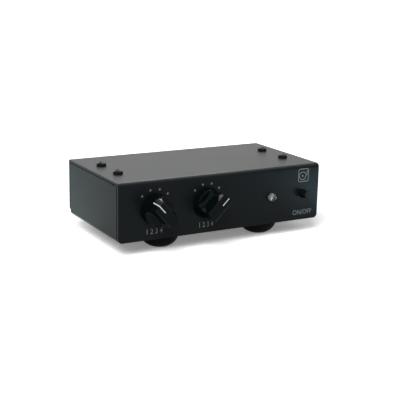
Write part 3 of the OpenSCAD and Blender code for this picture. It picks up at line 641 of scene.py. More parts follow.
WHITE_CORE = Moulding("white_core_plastic", "core_white", (0.68, 0.66, 0.61), (0.76, 0.74, 0.69), 0.35)
RED_CORE = Moulding("red_core_plastic", "core_red", (0.36, 0.018, 0.014), (0.44, 0.028, 0.020), 0.35)
SOCKET_PLASTIC = Moulding("chip_socket_plastic", "chip_black", (0.012,) * 3, (0.020,) * 3, 0.55)
FILM_BOX = Moulding(
    "red_film_box", "film_red", (0.26, 0.025, 0.018), (0.34, 0.045, 0.030), 0.3,
    grain=0.6, relief=0.02,
)
SCREW_STEEL = Blackening("blackened_steel", "black_steel", (0.006,) * 3, (0.012,) * 3, 0.32)
SET_SCREW_STEEL = Blackening("set_screw_steel", "black_steel", (0.030,) * 3, (0.060,) * 3, 0.45)
ZINC = Plating(
    "zinc_plate_sheet", "zinc_plate", (0.52, 0.53, 0.55), (0.66, 0.67, 0.68), 0.38, Grain.ROLLED
)
NICKEL = Plating(
    "nickel_plate_turned", "nickel_plate", (0.60, 0.59, 0.56), (0.72, 0.71, 0.68), 0.22, Grain.TURNED_Y
)
SHAFT_METAL = Plating(
    "turned_aluminium", "shaft_metal", (0.56, 0.56, 0.58), (0.66, 0.66, 0.68), 0.32, Grain.TURNED_Y
)
GOLD = Plating(
    "gold_plate_turned", "gold_plate", (0.78, 0.56, 0.22), (0.88, 0.66, 0.30), 0.2, Grain.TURNED_Y
)
TIN = Plating("tinned_wire", "tinned_lead", (0.55, 0.55, 0.54), (0.66, 0.66, 0.65), 0.35)
MIRROR_TIN = Plating("silvered_reflector", "tinned_lead", (0.70, 0.69, 0.67), (0.78, 0.77, 0.75), 0.3)
WHITE_INK = Ink("grey_white_print", "core_white", (0.085, 0.098, 0.098), (0.125, 0.140, 0.140))
LINE_PAINT = Ink("white_line_paint", "core_white", (0.50, 0.50, 0.49), (0.66, 0.66, 0.64))
LENS = ClearEpoxy("clear_epoxy", "lamp_clear")


class Form:
    """A mesh that is being built, in millimetres."""

    LETTER_WEIGHT = 0.008
    LETTER_STEPS = 4
    MERGE_REACH = 1e-5
    LEAST_MITRE = 0.5

    def __init__(self, place: Matrix | None = None) -> None:
        """Starts an empty form; place turns its own axes into the part frame."""
        self.bm = bmesh.new()
        self.place = place or Matrix.Identity(4)

    def lathe(self, outline: Sequence[Point], steps: int = 48) -> "Form":
        """Adds a body of revolution about the form's own Z.

        Args:
            outline: Radius and height of each point, from one end to the other.
            steps: Points round each ring.

        Returns:
            The form itself.
        """
        rings = []
        for radius, height in outline:
            spots = circle((0.0, 0.0), radius, steps)[: steps if radius > 0 else 1]
            rings.append([self.point(x, y, height) for x, y in spots])
        return self._skin(rings)

    def slab(self, outline: Sequence[Point], low: float, high: float) -> "Form":
        """Adds a plate whose outline runs anticlockwise in X and Y, between two heights."""
        return self._skin([[self.point(x, y, z) for x, y in outline] for z in (low, high)])

    def ribbon(self, path: Sequence[Point], width: float, height: float, closed: bool = False) -> "Form":
        """Adds a flat band along a path in X and Y, as for a printed line.

        Args:
            path: The points of its middle.
            width: Its width.
            height: Its thickness over Z = 0.
            closed: Whether the last point joins the first.

        Returns:
            The form itself.
        """
        count = len(path)
        sections = []
        for i in range(count):
            before = Vector(path[i - 1]) if closed or i else None
            after = Vector(path[(i + 1) % count]) if closed or i < count - 1 else None
            here = Vector(path[i])
            ways = [(here - before).normalized()] if before else []
            ways += [(after - here).normalized()] if after else []
            way = sum(ways, Vector((0, 0))).normalized()
            side = Vector((-way.y, way.x)) * (width / 2 / max(self.LEAST_MITRE, way.dot(ways[0])))
            corners = (here + side, here - side)
            sections.append([self.point(c.x, c.y, z) for z in (0.0, height) for c in corners])
        following = sections[1:] + sections[:1] if closed else sections[1:]
        for (a, b, c, d), (e, f, g, h) in zip(sections, following):
            for corners in ((a, e, f, b), (c, d, h, g), (a, c, g, e), (b, f, h, d)):
                self.bm.faces.new(corners)
        if not closed:
            a, b, c, d = sections[0]
            self.bm.faces.new((a, b, d, c))
            a, b, c, d = sections[-1]
            self.bm.faces.new((a, c, d, b))
        return self

    def words(self, text: str, middle: Point, size: Point, height: float) -> "Form":
        """Adds raised lettering fitted into a box.

        Args:
            text: The characters.
            middle: The box's middle in X and Y.
            size: The box's width and height.
            height: The letters' thickness over Z = 0.

        Returns:
            The form itself.
        """
        curve = bpy.data.curves.new("lettering", "FONT")
        curve.body = text
        curve.offset = self.LETTER_WEIGHT
        curve.resolution_u = self.LETTER_STEPS
        holder = bpy.data.objects.new("lettering", curve)
        bpy.context.scene.collection.objects.link(holder)
        bpy.context.view_layer.update()
        flat = bpy.data.meshes.new_from_object(
            holder.evaluated_get(bpy.context.evaluated_depsgraph_get())
        )
        bpy.data.objects.remove(holder)
        letters = bmesh.new()
        letters.from_mesh(flat)
        bpy.data.meshes.remove(flat)
        bmesh.ops.remove_doubles(letters, verts=letters.verts, dist=self.MERGE_REACH)
        spans = []
        for k in (0, 1):
            places = [v.co[k] for v in letters.verts]
            spans.append((min(places), max(places)))
        for vertex in letters.verts:
            for k, (low, high) in enumerate(spans):
                vertex.co[k] = middle[k] + ((vertex.co[k] - low) / (high - low) - 0.5) * size[k]
        raised = bmesh.ops.extrude_face_region(letters, geom=letters.faces[:])
        top = [v for v in raised["geom"] if isinstance(v, bmesh.types.BMVert)]
        bmesh.ops.translate(letters, vec=(0, 0, height), verts=top)
        known = {v: self.point(*v.co) for v in letters.verts}
        for face in letters.faces:
            self.bm.faces.new([known[v] for v in face.verts])
        letters.free()
        return self

    def rod(self, path: Sequence[Vector], radius: float, sides: int = 12) -> "Form":
        """Adds a round bar along a path of points, its ends closed.

        Args:
            path: The points of its middle.
            radius: Its radius.
            sides: How many flat sides it has.

        Returns:
            The form itself.
        """
        rings = []
        for i, here in enumerate(path):
            way = (path[min(i + 1, len(path) - 1)] - path[max(i - 1, 0)]).normalized()
            turn = way.to_track_quat("Z", "Y").to_matrix()
            spots = [here + turn @ Vector((x, y, 0)) for x, y in circle((0.0, 0.0), radius, sides)]
            rings.append([self.point(*spot) for spot in spots])
        return self._skin(rings)

    def point(self, x: float, y: float, z: float) -> bmesh.types.BMVert:
        """A new vertex at a point given in the form's own axes."""
        return self.bm.verts.new(self.place @ Vector((x, y, z)) * MM)

    def _skin(self, rings: Sequence[Sequence[bmesh.types.BMVert]]) -> "Form":
        """Joins each ring of points to the next and closes the ends.

        Args:
            rings: Rings of as many points each, or of one point where the form comes to a tip.

        Returns:
            The form itself.
        """
        for low, high in zip(rings, rings[1:]):
            for i in range(max(len(low), len(high))):
                corners = [low[i % len(low)], low[(i + 1) % len(low)]]
                corners += [high[(i + 1) % len(high)], high[i % len(high)]]
                self.bm.faces.new(list(dict.fromkeys(corners)))
        for ring in (rings[0][::-1], rings[-1]):
            if len(ring) > 1:
                self.bm.faces.new(ring)
        return self

    def mesh(self, name: str, smooth_angle: float = 40.0) -> bpy.types.Mesh:
        """Ends the form.

        Args:
            name: The mesh's name.
            smooth_angle: Edges sharper than this many degrees stay sharp.

        Returns:
            The finished mesh.
        """
        bmesh.ops.recalc_face_normals(self.bm, faces=self.bm.faces)
        made = bpy.data.meshes.new(name)
        self.bm.to_mesh(made)
        self.bm.free()
        made.shade_smooth()
        made.set_sharp_from_angle(angle=math.radians(smooth_angle))
        return made


def centre_of(node: str) -> tuple[float, float, float]:
    """The middle of a CAD node's box, in millimetres."""
    low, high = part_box(node)
    return (low.x + high.x) / 2 / MM, (low.y + high.y) / 2 / MM, (low.z + high.z) / 2 / MM


def panel_place(side: Side) -> Matrix:
    """The frame of a print: X to the reader's right, Y up and Z out of the case.

    Args:
        side: The face that carries the print.

    Returns:
        The matrix from the print's axes to the part frame, in millimetres.
    """
    low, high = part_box("cover")
    upright = Matrix.Rotation(math.radians(90), 4, "X")
    if side is Side.FRONT:
        return Matrix.Translation((0, low.y / MM, 0)) @ upright
    about = Matrix.Rotation(math.radians(180), 4, "Z")
    return Matrix.Translation((0, high.y / MM, 0)) @ about @ upright


def circle(centre: Point, radius: float, steps: int) -> list[Point]:
    """Points round a circle, anticlockwise."""
    turns = [math.tau * i / steps for i in range(steps)]
    return [(centre[0] + radius * math.cos(a), centre[1] + radius * math.sin(a)) for a in turns]


def rounded_frame(low: Point, high: Point, radius: float, steps: int = 5) -> list[Point]:
    """Points round a rectangle with round corners, anticlockwise.

    Args:
        low: Its lower left corner.
        high: Its upper right corner.
        radius: The corners' radius.
        steps: How many lines each round corner is made of.

    Returns:
        The points.
    """
    middles = ((high[0] - radius, low[1] + radius), (high[0] - radius, high[1] - radius))
    middles += ((low[0] + radius, high[1] - radius), (low[0] + radius, low[1] + radius))
    points = []
    for quarter, (x, y) in enumerate(middles):
        for i in range(steps + 1):
            turn = math.radians(90 * (quarter - 1) + 90 * i / steps)
            points.append((x + radius * math.cos(turn), y + radius * math.sin(turn)))
    return points


@dataclass
class Assembly:
    """A group of the object's pieces that one class dresses."""

    WELD_REACH = 0.002
    FLAT_ANGLE = 0.2
    CORNER_ANGLE = 32.0

    def coat(self, finish: Finish, *nodes: str, edge: float = 0.0) -> None:
        """Gives CAD nodes a finish.

        Args:
            finish: The finish.
            *nodes: The nodes' names.
            edge: The width of the small rounding put on their edges, or 0.
        """
        for name in nodes:
            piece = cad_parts[name]
            for slot in piece.material_slots:
                slot.material = finish.material()
            if edge:
                self._soften(piece, edge)
            LOG.info("%s: %s", name, finish.name)

    def add(self, name: str, form: Form, finish: Finish, body: str = "chassis") -> bpy.types.Object:
        """Adds a piece.

        Args:
            name: The piece's name.
            form: Its form.
            finish: Its finish.
            body: The body that it rides on.

        Returns:
            The new object.
        """
        piece = bpy.data.objects.new(name, form.mesh(name))
        piece.data.materials.append(finish.material())
        bpy.context.scene.collection.objects.link(piece)
        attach(piece, body)
        LOG.info("%s: %s, %d faces, rides %s", name, finish.name, len(piece.data.polygons), body)
        return piece

    @staticmethod
    def _soften(piece: bpy.types.Object, edge: float) -> None:
        """Rounds a CAD node's edges by modifiers and leaves its mesh as it is.

        Args:
            piece: The node's object.
            edge: The rounding's width.
        """
        weld = piece.modifiers.new("weld", "WELD")
        weld.merge_threshold = Assembly.WELD_REACH * MM
        flat = piece.modifiers.new("flat", "DECIMATE")
        flat.decimate_type = "DISSOLVE"
        flat.angle_limit = math.radians(Assembly.FLAT_ANGLE)
        bevel = piece.modifiers.new("edge", "BEVEL")
        bevel.width = edge * MM
        bevel.segments = 2
        bevel.limit_method = "ANGLE"
        bevel.angle_limit = math.radians(Assembly.CORNER_ANGLE)
        normals = piece.modifiers.new("normals", "WEIGHTED_NORMAL")
        normals.keep_sharp = False


@dataclass
class Case(Assembly):
    """The base, the cover and what holds them together and up."""

    edge: float = 0.16

    def build(self) -> None:
        """Dresses the sheets, the screws and the feet."""
        self.coat(CASE_COAT, "base", "cover", edge=self.edge)
        self.coat(SCREW_STEEL, "cover_screws", edge=FINE_EDGE)
        self.coat(ZINC, "lid_bracket_left", "lid_bracket_right", "bracket_nuts", edge=CUT_EDGE)
        feet = [f"foot_{end}_{side}" for end in ("front", "rear") for side in ("left", "right")]
        self.coat(FOOT_RUBBER, *feet)


@dataclass
class Dial(Assembly):
    """One dial: its knob with a white line, its switch, and its print on the front."""

    name: str
    rest: float
    numbers_width: float
    dot_radius: float = 11.7
    dot_size: float = 1.3
    dot_steps: int = 20
    dot_angles: tuple[float, ...] = (-45.0, -15.0, 15.0, 45.0)
    numbers_z: float = 14.35
    numbers_height: float = 3.2
    line_width: float = 0.58
    line_depth: float = 0.245
    line_sunk: float = 0.05
    line_inner: float = 2.21
    line_drop: float = 6.98
    face_radius: float = 8.0
    base_radius: float = 9.5
    edge: float = 0.12

    def build(self) -> None:
        """Dresses the dial's nodes and adds its line and its print."""
        self.coat(KNOB_PLASTIC, f"{self.name}_knob", edge=self.edge)
        self.coat(SET_SCREW_STEEL, f"{self.name}_set_screw")
        self.coat(SHAFT_METAL, f"{self.name}_shaft", edge=CUT_EDGE)
        self.coat(SWITCH_PLASTIC, f"{self.name}_switch", edge=MOULDED_EDGE)
        self.coat(ZINC, f"{self.name}_washer", f"{self.name}_nut", edge=FINE_EDGE)
        self.add(f"{self.name}_knob_line", self.line(), LINE_PAINT, f"{self.name}_control")
        self.add(f"{self.name}_dial_dots", self.dots(), WHITE_INK)
        self.add(f"{self.name}_dial_numbers", self.numbers(), WHITE_INK)

    def axis(self) -> Point:
        """The dial's axis, as X and Z."""
        x, _, z = centre_of(f"{self.name}_shaft")
        return x, z

    def line(self) -> Form:
        """The paint that fills the knob's groove, on the face and down the pointer's end.

        Returns:
            The line, as it lies when the knob is at rest.
        """
        low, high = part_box(f"{self.name}_knob")
        face, base = -low.y / MM, -high.y / MM
        x, z = self.axis()
        lean = math.atan((self.base_radius - self.face_radius) / (face - base))
        sine, cosine = math.sin(lean), math.cos(lean)

        def flank(drop: float, sunk: float) -> Point:
            """A point this far down the pointer's end and this far under its surface."""
            out = self.face_radius + drop * sine - sunk * cosine
            return out, face - drop * cosine - sunk * sine

        def corner(sunk: float) -> Point:
            """Where the line on the face turns down the end."""
            return flank(sunk * (1 - sine) / cosine, sunk)

        outline = [(self.line_inner, face - self.line_sunk), (self.line_inner, face - self.line_depth)]
        outline += [corner(self.line_depth), flank(self.line_drop, self.line_depth)]
        outline += [flank(self.line_drop, self.line_sunk), corner(self.line_sunk)]
        turned = Matrix(((0, 0, 1, x), (0, -1, 0, 0), (1, 0, 0, z), (0, 0, 0, 1)))
        rest = Matrix.Translation((x, 0, z)) @ Matrix.Rotation(math.radians(self.rest), 4, "Y")
        form = Form(rest @ Matrix.Translation((-x, 0, -z)) @ turned)
        return form.slab(outline, -self.line_width / 2, self.line_width / 2)

    def dots(self) -> Form:
        """The four dots over the knob.

        Returns:
            The dots, on the front.
        """
        form = Form(panel_place(Side.FRONT))
        x, z = self.axis()
        for angle in self.dot_angles:
            turn = math.radians(angle)
            centre = (x + self.dot_radius * math.sin(turn), z + self.dot_radius * math.cos(turn))
            form.slab(circle(centre, self.dot_size / 2, self.dot_steps), 0.0, PRINT_DEPTH)
        return form

    def numbers(self) -> Form:
        """The plain numbers of the four positions, in a row under the knob.

        Returns:
            The numbers, on the front.
        """
        numbers = " ".join(str(i + 1) for i in range(len(self.dot_angles)))
        size = (self.numbers_width, self.numbers_height)
        place = (self.axis()[0], self.numbers_z)
        return Form(panel_place(Side.FRONT)).words(numbers, place, size, PRINT_DEPTH)


@dataclass
class Lamp(Assembly):
    """The clear lamp, its holder, its leads and what is cast into it."""

    cup_rim: float = 1.35
    cup_floor: float = 0.55
    cup_depth: float = 0.7
    cup_wall: float = 0.25
    cup_foot: float = 0.2
    cup_steps: int = 32
    rim_behind_tip: float = 4.1
    flange_gap: float = 0.1
    post_radius: float = 0.45
    post_top: float = -1.9
    chip_half: float = 0.18
    chip_height: float = 0.2
    bond_foot: float = 1.95
    bond_bend: float = -1.0
    bond_tip: float = 1.8
    bond_top: float = 0.35
    bond_radius: float = 0.28
    wire_rise: float = 0.9
    wire_radius: float = 0.05
    wire_steps: int = 10
    wire_sides: int = 6

    def build(self) -> None:
        """Dresses the lamp and adds the reflector, the chip and the bond wire inside it."""
        self.coat(LENS, "lamp")
        self.coat(HOLDER_PLASTIC, "lamp_holder", edge=FINE_EDGE)
        self.coat(TIN, "lamp_leads")
        self.add("lamp_reflector", self.reflector(), MIRROR_TIN)
        self.add("lamp_chip", self.chip(), GOLD)
        self.add("lamp_bond_post", self.bond_post(), MIRROR_TIN)

    def inner(self) -> Matrix:
        """The inner frame, at the middle of the reflector's rim and with Z out of the front.

        Returns:
            The matrix from its axes to the part frame, in millimetres.
        """
        x, _, z = centre_of("lamp_holder")
        rim_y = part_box("lamp")[0].y / MM + self.rim_behind_tip
        return Matrix.Translation((x, rim_y, z)) @ Matrix.Rotation(math.radians(90), 4, "X")

    def foot(self) -> float:
        """Z of the posts' lower ends in the inner frame, just off the lamp's back."""
        tip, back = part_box("lamp")
        return self.flange_gap - (back.y / MM - (tip.y / MM + self.rim_behind_tip))

    def reflector(self) -> Form:
        """The cup on its post, down to the lamp's flange.

        Returns:
            The reflector.
        """
        foot = self.foot()
        outline = [(0.0, foot), (self.post_radius, foot), (self.post_radius, self.post_top)]
        outline += [(self.cup_rim, -self.cup_depth - self.cup_foot), (self.cup_rim + self.cup_wall, 0.0)]
        outline += [(self.cup_rim, 0.0), (self.cup_floor, -self.cup_depth), (0.0, -self.cup_depth)]
        return Form(self.inner()).lathe(outline, self.cup_steps)

    def chip(self) -> Form:
        """The small square chip on the cup's floor.

        Returns:
            The chip.
        """
        half = self.chip_half
        square = [(-half, -half), (half, -half), (half, half), (-half, half)]
        return Form(self.inner()).slab(square, -self.cup_depth, -self.cup_depth + self.chip_height)

    def bond_post(self) -> Form:
        """The second post with the fine wire that arches over to the chip.

        Returns:
            The post and the wire.
        """
        form = Form(self.inner())
        post = [(self.bond_foot, self.foot()), (self.bond_foot, self.bond_bend)]
        post += [(self.bond_tip, self.bond_top)]
        form.rod([Vector((x, 0, z)) for x, z in post], self.bond_radius)
        chip_top = -self.cup_depth + self.chip_height
        arch = []
        for i in range(self.wire_steps + 1):
            share = i / self.wire_steps
            height = self.bond_top + (chip_top - self.bond_top) * share
            height += self.wire_rise * math.sin(math.pi * share)
            arch.append(Vector((self.bond_tip * (1 - share), 0, height)))
        return form.rod(arch, self.wire_radius, self.wire_sides)


@dataclass
class PowerButton(Assembly):
    """The push button, its switch and its legend."""

    legend_z: float = 14.15
    legend_size: Point = (14.4, 3.1)

    def build(self) -> None:
        """Dresses the button and adds the ON/OFF legend under it."""
        self.coat(BUTTON_PLASTIC, "power_cap")
        self.coat(PLUNGER_PLASTIC, "power_plunger", edge=CUT_EDGE)
        self.coat(SWITCH_CASE, "power_switch", edge=MOULDED_EDGE)
        place = (centre_of("power_cap")[0], self.legend_z)
        form = Form(panel_place(Side.FRONT)).words("ON/OFF", place, self.legend_size, PRINT_DEPTH)
        self.add("power_legend", form, WHITE_INK)


@dataclass
class TurntableMark(Assembly):
    """A plain pictogram of a turntable seen from above, over the power button."""

    centre: Point = (58.2, 38.0)
    width: float = 8.0
    height: float = 8.6
    corner: float = 1.1
    record: Point = (-0.6, -0.4)
    record_radius: float = 2.5
    record_steps: int = 36
    label_radius: float = 0.6
    label_steps: int = 16
    arm: tuple[Point, ...] = ((2.7, 3.0), (2.7, 0.2), (1.1, -1.6))
    stroke: float = 0.5

    def build(self) -> None:
        """Adds the mark as lines of print: the plinth, the record, its label and the arm."""
        x, z = self.centre
        half = (self.width / 2 - self.stroke / 2, self.height / 2 - self.stroke / 2)
        form = Form(panel_place(Side.FRONT))
        outline = rounded_frame((x - half[0], z - half[1]), (x + half[0], z + half[1]), self.corner)
        form.ribbon(outline, self.stroke, PRINT_DEPTH, closed=True)
        disc = (x + self.record[0], z + self.record[1])
        record = circle(disc, self.record_radius, self.record_steps)
        form.ribbon(record, self.stroke, PRINT_DEPTH, closed=True)
        form.slab(circle(disc, self.label_radius, self.label_steps), 0.0, PRINT_DEPTH)
        form.ribbon([(x + dx, z + dz) for dx, dz in self.arm], self.stroke, PRINT_DEPTH)
        self.add("turntable_mark", form, WHITE_INK)


@dataclass
class RearPanel(Assembly):
    """The phono sockets, the ground post, the power inlet and their plain symbols."""

    symbol_z: float = 37.2
    stroke: float = 0.4
    letter: Point = (1.7, 2.2)
    word_margin: float = 0.6
    ground_stem: float = 1.5
    ground_bars: tuple[Point, ...] = ((1.5, 0.2), (1.0, 0.9), (0.5, 1.6))
    thin_share: float = 0.7
    pole_dot: float = 0.45
    pole_dot_steps: int = 16
    pole_ring: float = 1.2
    pole_ring_start: float = 40.0
    pole_ring_steps: int = 20
    pole_lines: tuple[tuple[Point, Point], ...] = (
        ((-3.2, 0.0), (-1.3, 0.0)),
        ((0.4, 0.0), (3.2, 0.0)),
        ((-4.8, 0.0), (-3.7, 0.0)),
        ((3.7, 0.0), (4.9, 0.0)),
        ((4.3, -0.6), (4.3, 0.6)),
    )

    def build(self) -> None:
        """Dresses everything on the rear and adds the print."""
        sockets = [f"{way}_{side}" for way in ("input", "output") for side in ("left", "right")]
        self.coat(NICKEL, *[f"{name}_sleeve" for name in sockets])
        self.coat(WHITE_CORE, "input_left_core", "output_left_core")
        self.coat(RED_CORE, "input_right_core", "output_right_core")
        self.coat(GOLD, "jack_contacts")
        self.coat(HOUSING_PLASTIC, "jack_housings", edge=MOULDED_EDGE)
        self.coat(NICKEL, "ground_post", "ground_lock_nut", "ground_washer", "ground_thumb_nut")
        self.coat(TIN, "ground_lug")
        self.coat(INLET_PLASTIC, "power_inlet", edge=CUT_EDGE)
        self.coat(NICKEL, "inlet_pin")
        self.add("socket_legends", self.socket_legends(), WHITE_INK)
        self.add("ground_symbol", self.ground_symbol(), WHITE_INK)
        self.add("polarity_symbol", self.polarity_symbol(), WHITE_INK)

    def across(self, node: str) -> float:
        """A node's middle, as the reader of the rear measures it to the right."""
        return -centre_of(node)[0]

    def socket_legends(self) -> Form:
        """L and R over each pair of sockets, with IN or OUT between them.

        Returns:
            The letters, on the rear.
        """
        form = Form(panel_place(Side.REAR))
        for way, word in (("input", "IN"), ("output", "OUT")):
            left, right = (self.across(f"{way}_{side}_sleeve") for side in ("left", "right"))
            form.words("L", (left, self.symbol_z), self.letter, PRINT_DEPTH)
            form.words("R", (right, self.symbol_z), self.letter, PRINT_DEPTH)
            width = self.letter[0] * len(word) + self.word_margin
            form.words(word, ((left + right) / 2, self.symbol_z), (width, self.letter[1]), PRINT_DEPTH)
        return form

    def ground_symbol(self) -> Form:
        """The earth symbol over the ground post.

        Returns:
            The symbol, on the rear.
        """
        form = Form(panel_place(Side.REAR))
        x, z = self.across("ground_post"), self.symbol_z
        form.ribbon([(x, z + self.ground_stem), (x, z)], self.stroke, PRINT_DEPTH)
        for half, drop in self.ground_bars:
            form.ribbon([(x - half, z - drop), (x + half, z - drop)], self.stroke, PRINT_DEPTH)
        return form

    def polarity_symbol(self) -> Form:
        """The centre-positive symbol over the power inlet.

        Returns:
            The symbol, on the rear.
        """
        form = Form(panel_place(Side.REAR))
        x, z = self.across("power_inlet"), self.symbol_z
        form.slab(circle((x, z), self.pole_dot, self.pole_dot_steps), 0.0, PRINT_DEPTH)
        start, steps, ring = self.pole_ring_start, self.pole_ring_steps, self.pole_ring
        turns = [math.radians(start + (360 - 2 * start) / steps * i) for i in range(steps + 1)]
        lines = [[(x + ring * math.cos(a), z + ring * math.sin(a)) for a in turns]]
        lines += [[(x + dx, z + dz) for dx, dz in line] for line in self.pole_lines]
        for line in lines:
            form.ribbon(line, self.stroke * self.thin_share, PRINT_DEPTH)
        return form


@dataclass
class CircuitBoard(Assembly):
    """The board and the parts on it."""

    resistor_length: float = 6.4
    resistor_side: float = 5.6
    resistor_lead: float = 0.38
    can_side: float = 4.75
    small_can: float = 3.15
    large_can: float = 5.0
    chip_size: Point = (9.6, 6.4)
    chip_height: float = 3.3
    regulator_body: Point = (3.4, 12.4)
    regulator_tab: float = 1.32
    film_edge: float = 0.4
    can_stripe: Color = (0.55, 0.58, 0.62)
    can_blue: Color = (0.020, 0.045, 0.16)
    can_black: Color = (0.012, 0.013, 0.017)

    def build(self) -> None:
        """Dresses the board and every part on it."""
        self.coat(SolderMask("solder_mask", "board_green"), "main_board")
        self.coat(ZINC, "board_standoffs", "board_screws", edge=FINE_EDGE)
        self.coat(SOCKET_PLASTIC, "amplifier_sockets")
        self.coat(FILM_BOX, "film_capacitors", edge=self.film_edge)
        centres = []
        for side in ("left", "right"):
            node = f"amplifier_{side}"
            x, y, _ = centre_of(node)
            centres.append(x)
            body_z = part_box(node)[1].z / MM - self.chip_height
            case = ChipCase(f"chip_case_{side}", "chip_black", (x, y), self.chip_size, body_z)
            self.coat(case, node, edge=FINE_EDGE)
        pitch = centres[1] - centres[0]
        lead_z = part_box("main_board")[1].z / MM + self.resistor_lead
        side, length = self.resistor_side, self.resistor_length
        lacquer = ResistorLacquer("blue_lacquer", "resistor_blue", centres[0], pitch, side, length, lead_z)
        self.coat(lacquer, "resistors")
        self.cans("coupling_capacitors", "can_blue", centres[0], pitch, self.can_side, self.small_can)
        low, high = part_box("filter_capacitors")
        first, last = low.x / MM + self.large_can, high.x / MM - self.large_can
        self.cans("filter_capacitors", "can_black", first, last - first, 0.0, self.large_can)
        low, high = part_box("regulators")
        lower, upper = (low.z / MM + height for height in self.regulator_body)
        tab_y = high.y / MM - self.regulator_tab
        self.coat(RegulatorCase("regulator_case", "chip_black", tab_y, (lower, upper)), "regulators")

    def cans(
        self, node: str, slot: str, first: float, pitch: float, half_pair: float, radius: float
    ) -> None:
        """Dresses a row of round capacitors in their sleeves.

        Args:
            node: The CAD node.
            slot: Its finish slot.
            first: X of the first can, or of the middle of the first pair.
            pitch: The distance to the next can or pair.
            half_pair: Half the distance between the cans of a pair, or 0 for single cans.
            radius: A can's radius.
        """
        row_y, top_z = centre_of(node)[1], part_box(node)[1].z / MM
        colors = (self.can_blue if slot == "can_blue" else self.can_black, self.can_stripe)
        places = (first, pitch, half_pair, row_y, radius, top_z)
        self.coat(CanSleeve(f"{node}_sleeve", slot, *colors, *places), node)


@dataclass
class Viewpoint:
    """The photograph's camera, solved from the outline of the case."""

    eye: tuple[float, float, float] = (-287.9, -510.0, 169.6)
    yaw: float = 29.75
    pitch: float = 14.34
    roll: float = 1.255
    focal_pixels: float = 948.75
    frame_pixels: float = 400.0
    sensor: float = 36.0
    clip_metres: tuple[float, float] = (0.01, 100.0)

    def build(self) -> None:
        """Makes the camera and sets it as the scene's."""
        data = bpy.data.cameras.new("viewpoint")
        data.sensor_width = self.sensor
        data.lens = self.focal_pixels * self.sensor / self.frame_pixels
        data.clip_start, data.clip_end = self.clip_metres
        camera = bpy.data.objects.new("viewpoint", data)
        camera.matrix_world = (
            Matrix.Translation(Vector(self.eye) * MM)
            @ Matrix.Rotation(math.radians(-self.yaw), 4, "Z")
            @ Matrix.Rotation(math.radians(90 - self.pitch), 4, "X")
            @ Matrix.Rotation(math.radians(self.roll), 4, "Z")
        )
        bpy.context.scene.collection.objects.link(camera)
        bpy.context.scene.camera = camera
        LOG.info("camera: %.1f mm lens", data.lens)


@dataclass
class SoftBox:
    """A rectangular soft light, for matt surfaces or for what gloss shows, aimed at a point."""

    name: str
    place: tuple[float, float, float]
    size: tuple[float, float]
    level: float
    rays: Rays = Rays.GLOSS
    aim: tuple[float, float, float] = (0.0, 0.0, 25.0)
    turn: float = 0.0
    tint: Color = (1.0, 1.0, 1.0)

    def build(self) -> None:
        """Makes the light; its level is the brightness of its face."""
        data = bpy.data.lights.new(self.name, "AREA")
        data.shape = "RECTANGLE"
        data.size = self.size[0] * MM
        data.size_y = self.size[1] * MM
        data.energy = self.level * math.pi * data.size * data.size_y
        data.color = self.tint
        light = bpy.data.objects.new(self.name, data)
        way = Vector(self.aim) - Vector(self.place)
        light.location = Vector(self.place) * MM
        turned = Quaternion((0.0, 0.0, 1.0), math.radians(self.turn))
        light.rotation_euler = (way.to_track_quat("-Z", "Y") @ turned).to_euler()
        light.visible_camera = False
        light.visible_diffuse = self.rays is Rays.MATT
        light.visible_glossy = self.rays is Rays.GLOSS
        bpy.context.scene.collection.objects.link(light)
        LOG.info("%s: level %.1f", self.name, self.level)


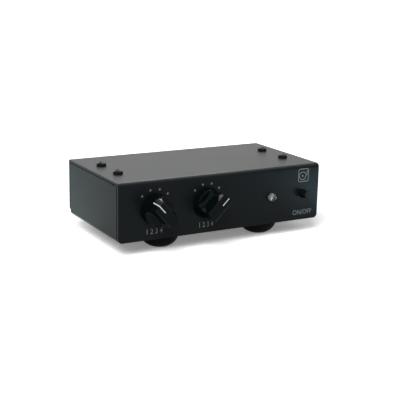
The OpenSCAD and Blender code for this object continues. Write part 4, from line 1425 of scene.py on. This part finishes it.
@dataclass
class Studio:
    """A plain pale floor in a white surround, with soft boxes.

    Within open_floor_near the floor shows the object's shadow, and past open_floor_far the camera
    sees it as pure white.
    """

    floor_size: float = 40000.0
    floor_tone: float = 0.74
    floor_seen: float = 1.4
    floor_lift: float = 0.22
    open_floor_near: float = 170.0
    open_floor_far: float = 400.0
    surround: float = 0.30
    boxes: tuple[SoftBox, ...] = (
        SoftBox("key_box", (-480.0, -520.0, 707.0), (600.0, 600.0), 8.9, Rays.MATT),
        SoftBox("rear_left_card", (-236.0, 772.0, 480.0), (460.0, 260.0), 6.6),
        SoftBox("rear_card", (308.0, 660.0, 529.0), (400.0, 188.0), 8.0),
        SoftBox("over_card", (500.0, 150.0, 1000.0), (500.0, 1300.0), 3.1, aim=(500.0, 150.0, 0.0)),
        SoftBox(
            "left_card",
            (-70.0, 155.0, 1.0),
            (120.0, 240.0),
            0.66,
            aim=(-70.0, 155.0, 99.0),
            turn=-22.0,
            tint=(0.6, 1.0, 1.0),
        ),
        SoftBox(
            "right_card",
            (175.0, -95.0, 1.0),
            (130.0, 110.0),
            8.0,
            aim=(175.0, -95.0, 99.0),
            tint=(0.55, 0.85, 1.0),
        ),
    )

    def build(self) -> None:
        """Makes the floor, the surround and the lights."""
        bpy.context.scene.view_settings.view_transform = "Standard"
        self._floor()
        self._surround()
        for box in self.boxes:
            box.build()

    @staticmethod
    def _seen(graph: Graph) -> Wire:
        """1 for rays from the camera, gloss and glass, and 0 for the light on matt surfaces."""
        path = graph.node("LightPath")
        return path["Is Camera Ray"].most(path["Is Glossy Ray"]).most(path["Is Transmission Ray"])

    def _floor(self) -> None:
        """A large plane that keeps the object's shadow."""
        form = Form()
        half = self.floor_size / 2
        corners = ((-half, -half), (half, -half), (half, half), (-half, half))
        form.bm.faces.new([form.point(x, y, 0) for x, y in corners])
        floor = bpy.data.objects.new("floor", form.mesh("floor"))
        made = bpy.data.materials.new("pale_floor")
        made.use_nodes = True
        graph = Graph(made.node_tree)
        path = graph.node("LightPath")
        tone = graph.blend(path["Is Camera Ray"], (self.floor_tone,) * 3, (self.floor_seen,) * 3)
        matt = graph.node("BsdfDiffuse", None, {"Color": tone})
        across, along, _ = graph.axes()
        fade = 1.0 / (self.open_floor_far - self.open_floor_near)
        past = (across.reach(along) - self.open_floor_near).most(0.0)
        shaded = (1.0 - past * fade).most(0.0)
        glow = self.floor_lift * self._seen(graph) + (1.0 - shaded) * path["Is Camera Ray"]
        lift = graph.node("Emission", None, {"Strength": glow})
        graph.node("OutputMaterial", None, {"Surface": graph.node("AddShader", None, {0: matt, 1: lift})})
        floor.data.materials.append(made)
        bpy.context.scene.collection.objects.link(floor)
        LOG.info("floor: tone %.2f", self.floor_tone)

    def _surround(self) -> None:
        """White where it is seen, and the soft light all round."""
        world = bpy.data.worlds.new("surround")
        world.use_nodes = True
        bpy.context.scene.world = world
        graph = Graph(world.node_tree)
        light = graph.node("Background", None, {"Color": (1.0, 1.0, 1.0), "Strength": self.surround})
        white = graph.node("Background", None, {"Color": (1.0, 1.0, 1.0), "Strength": 1.0})
        mixed = graph.node("MixShader", None, {0: self._seen(graph), 1: light, 2: white})
        graph.node("OutputWorld", None, {"Surface": mixed})


def main() -> None:
    """Builds the dressed object, its camera and its studio."""
    logging.basicConfig(level=logging.INFO, format="%(message)s")
    assemblies = (
        Case(),
        Dial("load", rest=-42.0, numbers_width=10.3),
        Dial("gain", rest=45.0, numbers_width=9.6),
        Lamp(),
        PowerButton(),
        TurntableMark(),
        RearPanel(),
        CircuitBoard(),
        Viewpoint(),
        Studio(),
    )
    for assembly in assemblies:
        assembly.build()


if __name__ == "__main__":
    main()
